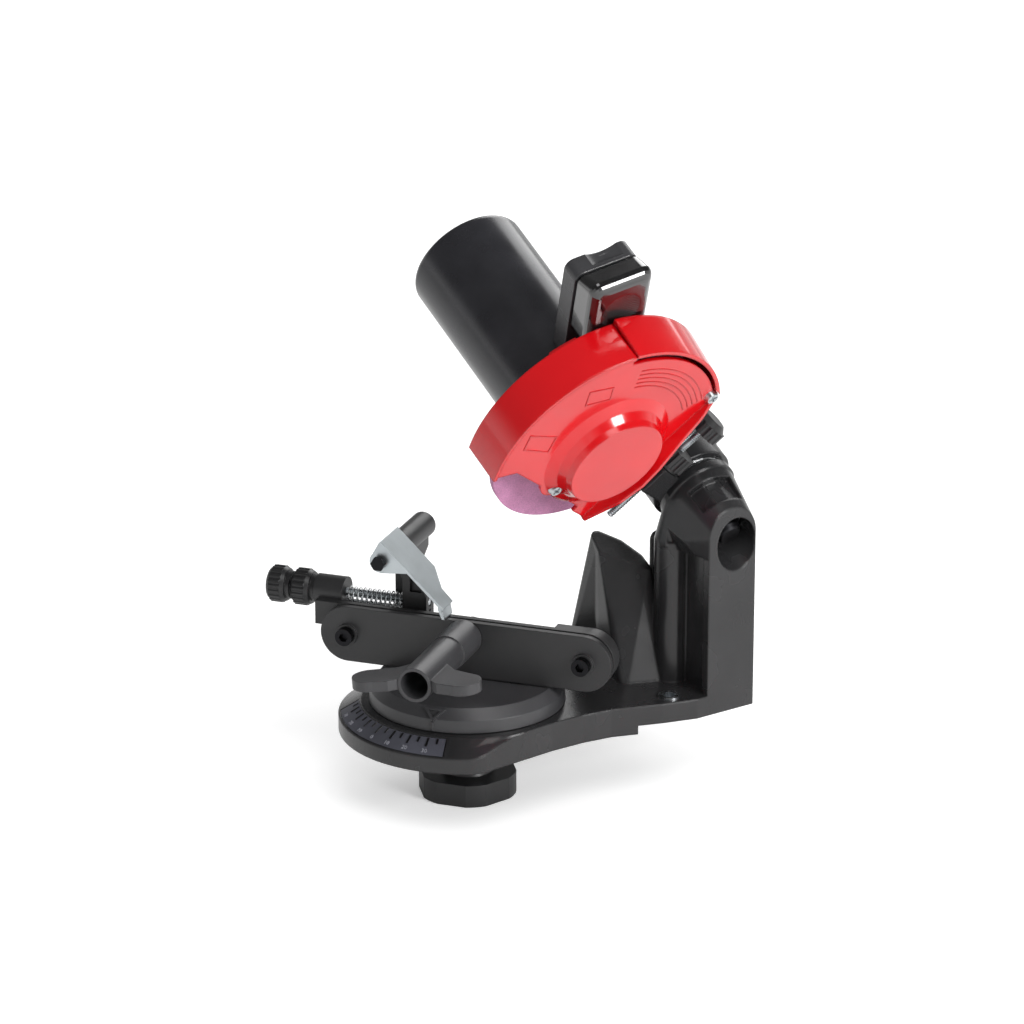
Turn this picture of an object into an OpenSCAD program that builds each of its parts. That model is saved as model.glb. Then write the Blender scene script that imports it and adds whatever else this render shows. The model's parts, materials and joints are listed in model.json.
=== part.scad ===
// Bench sharpener for saw chains: a tilting motor head with a thin grinding wheel,
// a column with a hinge, and a swivelling vise with a chain stop.
// Millimetres, +Z up. The origin is on the bench, midway between the two bench screws.

/* [Base] */
// Distance between the two bench screws
bench_span = 100; // [90:1:110]
// Radius of the clearance hole for a bench screw
bench_hole_r = 3.3; // [2.6:0.1:3.8]
// Height of the deck over the bench
deck_h = 10; // [8:0.5:14]
// Depth of the front apron below the deck, which hooks over the bench edge
apron_h = 14.3; // [13:0.1:20]
// Radius of the round front of the base
rim_r = 61.5; // [58:0.5:66]
// How far the rim of the round front drops below the deck
rim_drop = 6.8; // [4:0.1:8]
// Distance from the turntable axis back to the bench edge
bench_edge = 59.5; // [54:0.5:64]
// Distance from the turntable axis back to the bench screws
screw_back = 79.5; // [76:0.5:84]
// Sideways offset of the bench screws from the turntable axis
screw_side = 4; // [0:0.5:5]

/* [Column] */
// Right face of the column, from the turntable axis
column_x = 65.1; // [63:0.5:70]
// Front edge of the column, from the turntable axis
column_y = 94; // [90:0.5:97]
// Depth of the column, front to back
column_d = 27.5; // [25:0.5:32]
// Height of the round top of the right face over the deck
column_arch_h = 78.7; // [76:0.5:84]
// Thickness of the column's flanges
flange_t = 4.6; // [3:0.2:6]

/* [Hinge and head] */
// Tilt of the hinge and the spindle below horizontal, in degrees
spindle_tilt = 30; // [28:0.5:32]
// Height of the hinge axis over the deck, at the hinge's side position
hinge_z = 72; // [70:0.5:76]
// Side position of the hinge point, from the turntable axis
hinge_x = 68; // [66:0.5:70]
// Distance of the hinge axis behind the turntable axis
hinge_y = 110; // [108:0.5:112]
// Distance between the hinge axis and the spindle axis
head_reach = 107.5; // [104:0.5:110]
// Angle of the raised head above level, in degrees
head_raise = 36.7; // [30:0.1:40]
// Radius of the hinge bosses
boss_r = 19.3; // [18:0.1:21]
// Radius of the arm's boss
arm_boss_r = 20.8; // [20:0.1:21]
// Radius of the hinge bolt
bolt_r = 4; // [3:0.5:5]
// Gap between the column's boss and the arm's boss
hinge_gap = 3; // [2:0.1:4]

/* [Wheel and guard] */
// Radius of the grinding wheel
wheel_r = 53; // [50:0.5:54]
// Thickness of the grinding wheel
wheel_t = 3.2; // [2.4:0.1:4.8]
// Radius of the grinding wheel's bore
wheel_bore_r = 11.5; // [10:0.1:12.7]
// Outer radius of the guard
guard_r = 62.9; // [60:0.1:66]
// Depth of the guard along the spindle
guard_d = 22.2; // [21:0.1:26]
// Wall of the guard
guard_t = 1.9; // [1.6:0.1:2.6]
// Distance from the spindle to the guard's flat side
guard_chord = 31.2; // [29:0.1:34]
// Radius of the round hub on the guard's cover
hub_r = 24.8; // [22:0.1:27]

/* [Motor] */
// Outer radius of the motor housing
motor_r = 28.5; // [27:0.1:31]
// Length of the motor housing
motor_l = 95; // [90:1:110]
// Wall of the motor housing
motor_t = 2.2; // [1.6:0.1:3]
// Radius of the spindle at the wheel
shaft_r = 4; // [3:0.5:5]

/* [Handle] */
// Direction of the handle around the spindle, in degrees
handle_angle = 140; // [135:1:146]
// Width of the handle
handle_w = 32.5; // [28:0.5:36]
// Distance from the spindle to the handle's end
handle_end = 90; // [84:1:96]
// Travel of the switch paddle
paddle_travel = 1; // [0.6:0.1:1.5]

/* [Turntable] */
// Radius of the turntable at the deck
table_r = 46.8; // [44:0.1:49]
// Height of the turntable
table_h = 11; // [9:0.5:12]
// Swing of the vise from the scale's zero, in degrees
vise_swing = 30; // [20:1:35]
// Direction of the scale's zero from the column's side, in degrees
scale_zero = 5; // [0:1:8]
// Radius of the pivot stud
stud_r = 4; // [3:0.5:5]
// Radius of the clamping knob under the base
knob_r = 23.6; // [20:0.1:26]
// Thickness of the clamping knob
knob_t = 11; // [9:0.5:13]

/* [Vise] */
// Distance between the two rail screws
rail_span = 119; // [110:1:126]
// Height of the rails
rail_h = 27.4; // [26:0.1:30]
// Thickness of each rail
rail_t = 3; // [2.4:0.1:3.6]
// Width of the slit for the chain
slit_w = 1.8; // [1.2:0.1:2.2]
// Gap below the rails
rail_gap = 1; // [0.6:0.1:2]
// Radius of the rail screws
rail_screw_r = 2.5; // [2:0.1:3]
// Length of the wing screw
wing_l = 66; // [60:1:72]
// Outer radius of the wing screw's tube
wing_r = 8.3; // [7.8:0.1:9]
// Radius of the hole in the wing screw's open end
wing_hole_r = 6.7; // [6:0.1:6.8]
// Span over the two wings
wing_span = 63; // [54:1:66]

/* [Chain stop] */
// Distance of the adjusting screw behind the slit
stop_y = 15; // [14:0.5:18]
// Radius of the adjusting screw
stop_screw_r = 2.2; // [1.8:0.1:2.4]
// Radius of the knurled knobs
stop_knob_r = 9; // [8:0.1:10]
// Thickness of each knurled knob
stop_knob_t = 11.4; // [9:0.1:12]
// Height of the pawl's pin over the rails
pawl_rise = 25.6; // [24:0.1:27]
// Distance from the turntable axis to the pawl's pin, along the rails
pawl_x = 41.6; // [40:0.1:44]
// Width of the pawl at its pin
pawl_w = 22.8; // [21:0.1:25]
// Thickness of the pawl's sheet
pawl_t = 1.4; // [1:0.1:2]

/* [Depth stop] */
// Distance of the depth stop's screw from the hinge axis
depth_y = 30.5; // [30.2:0.1:32]
// Radius of the depth stop's screw
depth_r = 2; // [1.8:0.1:2.6]
// Radius of the depth stop's knob
depth_knob_r = 9.4; // [8.6:0.1:10]
// Distance of the depth post's top below the hinge axis
post_drop = 40.4; // [40.2:0.1:43]

/* [Hidden] */
$fn = 72;

// Colours
black = "#2b2b2d";
deep_black = "#1b1b1c";
gloss_black = "#101011";
steel = "#b9bcbe";
zinc = "#c9cfd0";
brass = "#b58f4a";
red = "#d8141a";
pink = "#c987b4";
copper = "#b0643a";

// Fits
eps = 0.01;
run_fit = 0.05;
close_fit = 0.2;
free_gap = 0.4;
seat_gap = 0.3;

// Base
base_left = -50;
// Radius with which the round front of the base flows into its sides
flow_r = 14;
bevel_w = 11.2;
bevel_r = rim_r - bevel_w;
bevel_a = atan(rim_drop / bevel_w);
scale_half = 39.5;
scale_marks = 7;
scale_t = 0.7;
scale_sink = 0.8;
bush_flange_r = 5.4;
bush_flange_t = 1.2;
bush_wall = 1.3;
hub_boss_r = 13;
hub_boss_h = 28;
shell_t = 4;

// Column and hinge: places along the hinge axis, from the hinge point
boss_face = -41.3;
collar_l = 4.5;
bolt_seat = -18;
bolt_head_h = 7.6;
bolt_head_r = 7;
dome_h = 4.2;
washer_t = 1.6;
arm_front = boss_face - hinge_gap;
arm_back = -61;
cbore_r = 11.4;
arch_r = column_d / 2;
column_shoulder = 71;
tab_x = 15.6;
tab_t = 3.5;
tab_top = 69;
nut_h = 6.5;
bush_wall_t = 1.6;
spring_coil_r = 16.4;
spring_wire_r = 0.9;
spring_turns = 3;
spring_sink = 5.6;

// Head: places along the spindle axis, from the hinge point
hub_face = -16.6;
guard_front = hub_face - 8;
guard_back = guard_front - guard_d;
wheel_front = -37.5;
wheel_back = wheel_front - wheel_t;
cover_face = guard_front - 1.4;
cover_back = cover_face - guard_t;
cover_screw_r = 1.6;
cover_head_r = 3.6;
hub_screw_l = 5;
flange_gap = 0.4;
arm_plate_front = guard_back - 0.2;
motor_front = arm_back;
motor_end = motor_front - motor_l;
motor_spigot_l = 3;
arm_plate_r = 30.5;
bearing_r = 11;
bearing_w = 7;
bearing_front = -50;
rear_bearing_r = 9.5;
rear_bearing_w = 6;
rear_shaft_r = 3;
gland_angle = 300;
rear_band_y = -3.5;
rear_band_z = -0.8;
band_draft = 2;
rear_band_r = guard_r - 0.7;
nut_w_h = 5;
flange_r = 19;

// Turntable and vise
table_bottom = seat_gap;
table_top = table_bottom + table_h;
pointer_w = 5.2;
stud_top = table_top - 3;
knob_top = -36;
knob_bottom = knob_top - knob_t;
stud_washer_t = 2;
neck_top = -hub_boss_h - 2 * seat_gap - stud_washer_t;
rail_r = rail_h / 2;
rail_bottom = table_top + rail_gap;
rail_z = rail_bottom + rail_r;
rail_top = rail_bottom + rail_h;
slit_half = slit_w / 2;
front_face = -slit_half - rail_t;
rear_back = slit_half + rail_t;
rail_boss_r = 5.3;
rail_boss_t = 1.5;
screw_head_r = 4.25;
screw_head_h = 4;
block_d = 6.6;
saddle_back = 17;
stud_boss_back = 9.5;
wing_z = rail_top - wing_r + 0.7;
wing_tip_r = 8.5;
wing_tip_y = 3.2;
wing_turn = 5;
clamp_stud_r = 4;
wing_front = front_face - seat_gap - wing_l;
wing_t = 5;

// Chain stop
stop_z = 40;
guide_off = 4.3;
guide_r = 1;
spring_low = 1.5;
housing_x0 = -81.8;
housing_x1 = -67;
knob_gap = 1.3;
lock_x1 = housing_x0 - 0.4;
adjust_x1 = lock_x1 - stop_knob_t - knob_gap;
housing_r = 7.4;
carriage_x0 = -36.6;
carriage_x1 = -24.4;
carriage_y0 = 10;
carriage_y1 = 20;
pawl_z = rail_top + pawl_rise;
pawl_front = -6;
pawl_pin_r = 2.4;
ear_r = 5.3;
barrel_r = 6.3;
barrel_end = 52;

// Depth stop
depth_s = -44.6;
depth_tip = -34.8;
depth_top = 25;
depth_pad_top = 1.5;
depth_lock_r = 9.2;
web_front = -55.5;

// Guard's split, as angles around the spindle
split_a0 = 60.5;
split_a1 = 133;
band_a1 = 219;
band_gap = 0.15;

// Handle: places along the spindle axis, and the collar
grip_y = -2.2;
grip_z = -12.1;
grip_back = -73;
grip_rim = -63.6;
grip_skin = 2.2;
paddle_back = grip_rim + paddle_travel + seat_gap;
edge_r = 4.4;
paddle_front = -48;
paddle_low = 50;
plate_front = grip_rim - 0.2;
plate_t = 2;
collar_half = 9;
collar_y0 = 62;
collar_y1 = 80;

// Frames
// Turntable axis at the top of the deck
module deck() {
    translate([-screw_side, -screw_back, deck_h]) children();
}
// Vise: X along the rails, Y to the back
module vise() {
    deck() rotate([0, 0, scale_zero + vise_swing]) children();
}
// Column side of the hinge: X along the hinge axis, Z square to it
module hinge() {
    deck() translate([hinge_x, hinge_y, hinge_z]) rotate([0, spindle_tilt, 0]) children();
}
// Head side of the hinge
module head() {
    hinge() rotate([-head_raise, 0, 0]) children();
}
// Spindle axis, X along it
module spindle() {
    head() translate([0, -head_reach, 0]) children();
}
// Handle: Y outward from the spindle, Z across the handle
module grip() {
    spindle() rotate([handle_angle, 0, 0]) translate([0, grip_y, grip_z]) children();
}
// Adjusting screw of the chain stop, X along it
module stop_axis() {
    vise() translate([0, stop_y, stop_z]) children();
}

// Shapes
module xcyl(r, x0, x1, r2 = -1) {
    translate([x0, 0, 0]) rotate([0, 90, 0]) cylinder(h = x1 - x0, r1 = r, r2 = r2 < 0 ? r : r2);
}
module ycyl(r, y0, y1) {
    translate([0, y1, 0]) rotate([90, 0, 0]) cylinder(h = y1 - y0, r = r);
}
module xtube(ro, ri, x0, x1) {
    difference() {
        xcyl(ro, x0, x1);
        xcyl(ri, x0 - 1, x1 + 1);
    }
}
// Flat shape with its X along Y and its Y along Z, thick along X
module xslab(x0, x1) {
    translate([x0, 0, 0]) rotate([90, 0, 90]) linear_extrude(x1 - x0) children();
}
// Flat shape with its Y along Z, thick along Y
module yslab(y0, y1) {
    translate([0, y1, 0]) rotate([90, 0, 0]) linear_extrude(y1 - y0) children();
}
module box(x0, x1, y0, y1, z0, z1) {
    translate([x0, y0, z0]) cube([x1 - x0, y1 - y0, z1 - z0]);
}
// Rectangle with round corners, from one corner to the other
module rrect(x0, y0, x1, y1, r) {
    translate([x0 + r, y0]) square([x1 - x0 - 2 * r, y1 - y0]);
    translate([x0, y0 + r]) square([x1 - x0, y1 - y0 - 2 * r]);
    for (x = [x0 + r, x1 - r], y = [y0 + r, y1 - r]) translate([x, y]) circle(r);
}
// Knob outline with round grooves
module grooved(r, grooves, groove_r) {
    difference() {
        circle(r);
        for (i = [0 : grooves - 1])
            rotate(360 * i / grooves) translate([r + groove_r * 0.35, 0]) circle(groove_r, $fn = 16);
    }
}
// Outline of a sector, from angle a0 to angle a1
module wedge(r, a0, a1) {
    steps = 6;
    polygon(concat([[0, 0]], [for (i = [0 : steps])
        let (a = a0 + (a1 - a0) * i / steps) r * [cos(a), sin(a)]]));
}
// Coil spring along Z from 0 to height h
module coil(r, wire, h, turns, sides = 6, steps = 16) {
    n = turns * steps;
    rise = h - 2 * wire;
    pts = [for (i = [0 : n], k = [0 : sides - 1])
        let (a = 360 * i / steps, b = 360 * k / sides, q = r + wire * cos(b))
        [q * cos(a), q * sin(a), wire + rise * i / n + wire * sin(b)]];
    skin = [for (i = [0 : n - 1], k = [0 : sides - 1])
        let (p = i * sides + k, q = i * sides + (k + 1) % sides)
        [p, p + sides, q + sides, q]];
    ends = [[for (k = [0 : sides - 1]) k], [for (k = [sides - 1 : -1 : 0]) n * sides + k]];
    polyhedron(points = pts, faces = concat(skin, ends), convexity = 8);
}

// Base: deck with a round front, column and depth post, moulded in one piece
module base_outline() {
    // The round front flows into the straight sides
    intersection() {
        offset(r = flow_r) offset(delta = -flow_r) raw_outline();
        translate([-90, -90]) square([180, 112]);
    }
    intersection() {
        raw_outline();
        translate([-90, 21]) square([180, 140]);
    }
}
module raw_outline() {
    intersection() {
        circle(rim_r, $fn = 120);
        translate([-70, -70]) square([140, 39.5]);
    }
    polygon([
        [53.6, -31], [52.4, -20], [51.6, -7], [49.8, 14], [50, 32], [52, 47], [56.4, bench_edge],
        [60.4, 71], [column_x, 88], [column_x, column_y + column_d], [-22, column_y + column_d],
        [-42, 100], [-52, 80], [-52, bench_edge], [base_left, 32], [base_left, 14],
        [-51.6, -7], [-52.4, -20], [-53.6, -31]
    ]);
}
function bevel_point(t, d) = [
    bevel_r + bevel_w * t - sin(bevel_a) * d,
    -rim_drop * t - cos(bevel_a) * d
];
// What the sloping rim takes off the front of the deck
module rim_cut() {
    rotate_extrude() polygon([[bevel_r, 0], [rim_r + 9, -rim_drop - 9 * tan(bevel_a)],
        [rim_r + 9, 5], [bevel_r, 5]]);
}
module rim_shoulder(side) {
    mirror([side < 0 ? 1 : 0, 0, 0]) hull() {
        translate([0, 0, -apron_h]) linear_extrude(apron_h - rim_drop)
            polygon([[40, -31], [45.6, -40.4], [48.7, -36.4], [50.7, -32], [51.5, -26], [51.6, -7],
                [40, -7]]);
        translate([0, 0, -1]) linear_extrude(1)
            polygon([[38, -31], [39, -31.4], [43.2, -27], [46.8, -21.4], [49.6, -14.6], [51, -8],
                [51.6, -2], [38, -2]]);
    }
}
module deck_body() {
    difference() {
        translate([0, 0, -apron_h]) linear_extrude(apron_h) base_outline();
        box(-90, 90, bench_edge, 160, -apron_h - 1, -deck_h);
        intersection() {
            rim_cut();
            box(-90, 90, -90, -2, -30, 10);
        }
    }
    for (side = [-1, 1]) rim_shoulder(side);
}
module deck_pockets() {
    // Ring pocket under the round front, with ribs left standing
    difference() {
        translate([0, 0, -apron_h - 1]) cylinder(h = apron_h - 7, r = bevel_r - 6);
        translate([0, 0, -apron_h - 2]) cylinder(h = apron_h, r = hub_boss_r + 4);
        for (a = [0 : 60 : 150]) rotate([0, 0, a]) box(-60, 60, -1.5, 1.5, -apron_h - 2, 0);
    }
    // Pockets in the rear of the deck
    for (x = [-38, -9, 20]) box(x, x + 25, bench_edge + shell_t, 112, -deck_h - 1, -shell_t);
}
// The post that stops the depth screw: a round body under a slanted top, and a fin on its left
module post() {
    hull() {
        linear_extrude(1) {
            disc(7.8, 75.2, 2.8);
            disc(25.6, 75.3, 5.8);
            disc(33.4, 89.8, 3.7);
            disc(31, 97, 3);
            disc(4, 95, 3);
        }
        post_top() {
            disc(-48.2, -35.5, 2);
            disc(-43.2, -28.6, 2.2);
            disc(-31, -18.4, 1.4);
            disc(-39, -19.2, 2);
            disc(-49.2, -24.8, 3);
            disc(-56.1, -32.3, 3.7);
        }
    }
    hull() {
        linear_extrude(1) {
            disc(-17.4, 74.6, 3.2);
            disc(2.4, 76.4, 3);
            disc(0, 94, 3);
        }
        post_top() {
            disc(-56.1, -32.3, 3.7);
            disc(-50.6, -34.6, 2.2);
        }
    }
}
module disc(x, y, r) {
    translate([x, y]) circle(r, $fn = 40);
}
// The post's top is square to the screw that stops on it
module post_top() {
    hinge_local() translate([0, 0, -post_drop - 1]) linear_extrude(1) children();
}
module column_plan() {
    translate([24, column_y + 4]) square([column_x - 24, column_d - 4]);
    translate([column_x - flange_t, column_y]) square([flange_t, column_d]);
    translate([34, column_y + 1.5]) circle(8.6);
    translate([25.4, column_y + 1]) square([17, 8]);
}
module arch_disc(x0, x1, r) {
    translate([0, column_y + arch_r, column_arch_h]) xcyl(r, x0, x1);
}
module column() {
    difference() {
        union() {
            translate([0, 0, -1]) linear_extrude(column_shoulder + 1) column_plan();
            // The tower, the right face's arch and the boss grow together
            difference() {
                hull() {
                    translate([0, 0, column_shoulder - 2]) linear_extrude(2) hull() column_plan($fn = 40);
                    arch_disc(column_x - 4, column_x, arch_r, $fn = 60);
                    hinge_local() xcyl(boss_r - 0.6, boss_face + 2, boss_face + 4, $fn = 60);
                }
                // The recess between the tower and the right flange fades out upward
                hull() {
                    box(42.4, column_x - flange_t, column_y - 30, column_y + 4, 40, 50);
                    box(37, column_x - flange_t, column_y - 30, column_y - 9.5, 92, 93);
                }
            }
            hinge_local() xcyl(boss_r, boss_face, boss_face + collar_l);
            // Thin tab along the column's left side
            box(tab_x, tab_x + tab_t, column_y + 2, column_y + column_d, -1, tab_top - 5);
            translate([0, column_y + 7, tab_top - 5]) xcyl(5, tab_x, tab_x + tab_t);
            box(tab_x, tab_x + tab_t, column_y + 7, column_y + column_d, 50, tab_top);
            box(tab_x, 26, column_y + 12, column_y + column_d, -1, tab_top - 4);
        }
        // Nothing of the column reaches the arm
        hinge_local() box(boss_face - 60, arm_front + 1, -60, 60, -80, 60);
        // Pockets between the ribs over the hinge
        hinge_local() for (a = [77 : 27 : 131])
            rotate([a, 0, 0]) box(boss_face + collar_l + 5.5, bolt_seat, 14.2, 30, -4, 4);
        // Counterbore for the bolt's head, and the bolt's hole
        hinge_local() {
            xcyl(cbore_r, bolt_seat, 40);
            xcyl(bolt_r + run_fit, boss_face - 5, 10);
            xtube(spring_coil_r + 1.2, spring_coil_r - 1.6, boss_face - 5, boss_face + 0.8);
        }
    }
}
// The hinge frame, for use inside the deck frame
module hinge_local() {
    translate([hinge_x, hinge_y, hinge_z]) rotate([0, spindle_tilt, 0]) children();
}
module base_frame() {
    color(black) deck() difference() {
        union() {
            deck_body();
            translate([0, 0, -hub_boss_h]) cylinder(h = hub_boss_h - 1, r = hub_boss_r);
            column();
            post();
        }
        deck_pockets();
        translate([0, 0, -60]) cylinder(h = 80, r = stud_r + run_fit);
        bench_bush_places() {
            translate([0, 0, -deck_h - 1]) cylinder(h = deck_h + 5, r = bench_hole_r + bush_wall + eps);
            translate([0, 0, -bush_flange_t]) cylinder(h = 6, r = bush_flange_r + eps);
        }
        // Recess for the angle scale
        rotate([0, 0, scale_zero - 90 - scale_half]) rotate_extrude(angle = 2 * scale_half)
            polygon([bevel_point(0.1, -1), bevel_point(0.9, -1),
                bevel_point(0.9, scale_sink), bevel_point(0.1, scale_sink)]);
    }
}
module bench_bush_places() {
    for (side = [-1, 1]) translate([screw_side + side * bench_span / 2, screw_back, 0]) children();
}
// Steel bushes that take the bench screws
module bench_bushes() {
    color(steel) deck() bench_bush_places() difference() {
        union() {
            translate([0, 0, -deck_h]) cylinder(h = deck_h, r = bench_hole_r + bush_wall);
            translate([0, 0, -bush_flange_t]) cylinder(h = bush_flange_t + 0.8, r = bush_flange_r);
        }
        translate([0, 0, -deck_h - 1]) cylinder(h = deck_h + 4, r = bench_hole_r);
    }
}
// Angle scale in the sloping rim, with a mark every five degrees
module angle_scale() {
    color("#4a4a4e") deck() {
        rotate([0, 0, scale_zero - 90 - scale_half + 0.4]) rotate_extrude(angle = 2 * scale_half - 0.8)
            polygon([bevel_point(0.11, scale_sink - scale_t), bevel_point(0.89, scale_sink - scale_t),
                bevel_point(0.89, scale_sink), bevel_point(0.11, scale_sink)]);
        for (i = [-scale_marks : scale_marks]) rotate([0, 0, scale_zero - 90 + 5 * i])
            translate([bevel_point(0.15, 0)[0], 0, bevel_point(0.15, 0)[1]])
            rotate([0, bevel_a, 0]) box(0, i % 2 == 0 ? 4.8 : 2.8, -0.45, 0.45, -0.3, 0.15);
    }
}
// Hinge bolt, with its head in the column's counterbore
module hinge_bolt() {
    head_seat = bolt_seat + washer_t;
    color(deep_black) hinge() {
        xcyl(bolt_r, arm_back - 8, head_seat + eps);
        xcyl(bolt_head_r + 1.6, head_seat, head_seat + 1.2);
        // Flat-topped dome
        translate([head_seat + 1.1, 0, 0]) rotate([0, 90, 0]) rotate_extrude()
            polygon([[0, 0], [bolt_head_r, 0], [bolt_head_r, bolt_head_h - dome_h - 1.1],
                [0.95 * bolt_head_r, bolt_head_h - 0.6 * dome_h - 1.1],
                [0.82 * bolt_head_r, bolt_head_h - 0.2 * dome_h - 1.1],
                [0.7 * bolt_head_r, bolt_head_h - 1.1], [0, bolt_head_h - 1.1]]);
    }
}
module hinge_washer() {
    color(steel) hinge() xtube(cbore_r - 1.2, bolt_r + run_fit, bolt_seat, bolt_seat + washer_t);
}
module hinge_nut() {
    color(steel) hinge() difference() {
        translate([arm_back - 0.3 - nut_h, 0, 0]) rotate([0, 90, 0]) cylinder(h = nut_h, r = 7.5, $fn = 6);
        xcyl(bolt_r + eps, arm_back - 20, arm_back + 2);
    }
}
// Spring that lifts the head
module head_spring() {
    len = hinge_gap + spring_sink - spring_wire_r - 0.1;
    color(steel) hinge() translate([boss_face - len + 0.4, 0, 0]) rotate([0, 90, 0])
        coil(spring_coil_r, spring_wire_r, len, spring_turns, 6, 24);
}

// Turntable with a sloping shoulder and a raised pointer
module turntable() {
    color(black) vise() difference() {
        union() {
            rotate_extrude() polygon([[0, table_bottom], [table_r, table_bottom],
                [table_r - 0.6, table_top - 5], [table_r - 4.6, table_top], [0, table_top]]);
            pointer();
        }
        translate([0, 0, -5]) cylinder(h = 40, r = stud_r + eps);
        translate([0, 0, stud_top - 5]) cylinder(h = 20, r = 8, $fn = 6);
    }
}
module pointer() {
    edge = [table_r - 0.6, table_top - 5];
    slope = atan2(5, 4);
    translate([0, -edge[0], edge[1]]) rotate([slope, 0, 0]) translate([0, -1.2, -0.6])
        linear_extrude(1.5) difference() {
            polygon([[-pointer_w, 6.4], [pointer_w, 6.4], [0, 0]]);
            polygon([[-pointer_w + 2.2, 5.4], [pointer_w - 2.2, 5.4], [0, 1.8]]);
        }
    box(-0.6, 0.6, -table_r - 0.35, -table_r + 2, table_bottom + 0.3, edge[1] - 1.2);
}
module pivot_stud() {
    color(steel) vise() {
        translate([0, 0, knob_bottom + 2]) cylinder(h = stud_top - knob_bottom - 2, r = stud_r);
        translate([0, 0, stud_top - 5]) cylinder(h = 5, r = 7.9, $fn = 6);
    }
}
module stud_washer() {
    color(steel) vise() difference() {
        translate([0, 0, -hub_boss_h - seat_gap - stud_washer_t]) cylinder(h = stud_washer_t, r = 11.5);
        translate([0, 0, -50]) cylinder(h = 60, r = stud_r + run_fit);
    }
}
// Clamping knob under the base
module lock_knob() {
    color(black) vise() difference() {
        union() {
            translate([0, 0, knob_bottom]) linear_extrude(knob_t) intersection() {
                circle(knob_r);
                circle(knob_r * 1.1, $fn = 6);
            }
            translate([0, 0, knob_top - 1]) cylinder(h = neck_top - knob_top + 1, r1 = 13, r2 = 11);
        }
        translate([0, 0, -60]) cylinder(h = 60, r = stud_r + 2 + eps);
        translate([0, 0, knob_bottom - 1]) cylinder(h = 4, r = knob_r - 5);
    }
}
module knob_insert() {
    color(brass) vise() difference() {
        translate([0, 0, knob_bottom + 3]) cylinder(h = neck_top - knob_bottom - 3, r = stud_r + 2);
        translate([0, 0, -60]) cylinder(h = 60, r = stud_r + run_fit);
    }
}

// Saddle that carries the rails on the turntable
module vise_saddle() {
    color(deep_black) vise() difference() {
        union() {
            box(-23, 23, rear_back, saddle_back, table_top, 19);
            box(-23, 23, -3, rear_back, table_top, rail_bottom);
            box(-14, 14, rear_back, stud_boss_back, 18, wing_z + 1);
            translate([0, 0, wing_z]) ycyl(clamp_stud_r + 1.6, rear_back, stud_boss_back);
        }
        translate([0, 0, wing_z]) ycyl(clamp_stud_r + eps, -10, stud_boss_back - 1.2);
    }
}
module stadium(r, span) {
    for (side = [-1, 1]) translate([side * span / 2, rail_z]) circle(r);
    translate([-span / 2, rail_z - r]) square([span, 2 * r]);
}
module rail_screw_places() {
    for (side = [-1, 1]) translate([side * rail_span / 2, 0, rail_z]) children();
}
module rear_rail() {
    color(black) vise() difference() {
        union() {
            yslab(slit_half, rear_back) stadium(rail_r, rail_span);
            // Right end block, as high as the rail
            yslab(rear_back - eps, rear_back + block_d) intersection() {
                stadium(rail_r - 0.6, rail_span);
                translate([42, 0]) square([60, 80]);
            }
            // Left end block, below the chain stop
            box(-69, -50, rear_back - eps, rear_back + block_d, rail_bottom + 1, rail_z + 6);
        }
        rail_screw_places() {
            ycyl(rail_screw_r + eps, -5, 30);
            ycyl(4.2, -1, rear_back + 2);
        }
        translate([0, 0, wing_z]) ycyl(clamp_stud_r + eps, -10, 30);
    }
}
module front_rail() {
    color(black) vise() difference() {
        union() {
            yslab(front_face, -slit_half) stadium(rail_r, rail_span);
            rail_screw_places() ycyl(rail_boss_r, front_face - rail_boss_t, front_face + eps);
        }
        rail_screw_places() ycyl(rail_screw_r + close_fit, -20, 5);
        translate([0, 0, wing_z]) ycyl(clamp_stud_r + close_fit, -20, 10);
    }
}
module rail_screws() {
    face = front_face - rail_boss_t - run_fit;
    color(deep_black) vise() rail_screw_places() difference() {
        union() {
            ycyl(rail_screw_r, face - eps, rear_back + block_d - 0.5);
            ycyl(screw_head_r, face - screw_head_h, face);
        }
        translate([0, face - screw_head_h + 2.4, 0]) rotate([90, 0, 0]) cylinder(h = 5, r = 2.3, $fn = 6);
    }
}
module rail_springs() {
    len = slit_half * 2 + rail_t + 0.7;
    color(steel) vise() rail_screw_places() translate([0, -slit_half + 1, 0]) rotate([-90, 0, 0])
        coil(3.4, 0.45, len, 4, 5, 14);
}
// Stud that draws the rails together, fixed in the saddle
module clamp_stud() {
    color(steel) vise() translate([0, 0, wing_z])
        ycyl(clamp_stud_r, front_face - 24, stud_boss_back - 1.2);
}
// Wing screw: a long tube with two wings, threaded on the clamp stud
module wing_screw() {
    back = front_face - seat_gap;
    color(black) vise() translate([0, 0, wing_z]) difference() {
        union() {
            ycyl(wing_r + 0.5, wing_front + 43, back);
            ycyl(wing_r, wing_front, wing_front + 43.1);
            rotate([0, -wing_turn, 0]) translate([0, wing_front, -wing_t / 2])
                linear_extrude(wing_t) for (side = [-1, 1]) wing_outline(side);
        }
        ycyl(wing_hole_r, wing_front - 1, back - 30);
        ycyl(clamp_stud_r + run_fit, wing_front - 1, back + 1);
    }
}
module wing_outline(side) {
    x = side * (wing_span / 2 - wing_tip_r);
    translate([x, wing_tip_y]) circle(wing_tip_r);
    polygon([[0, 2], [side * 7, 1.6], [side * 12, wing_tip_y - 6], [x, wing_tip_y - wing_tip_r],
        [x + side * 4, wing_tip_y + 7.5], [side * 14, 16], [side * 8, 23], [0, 24]]);
}

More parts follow.
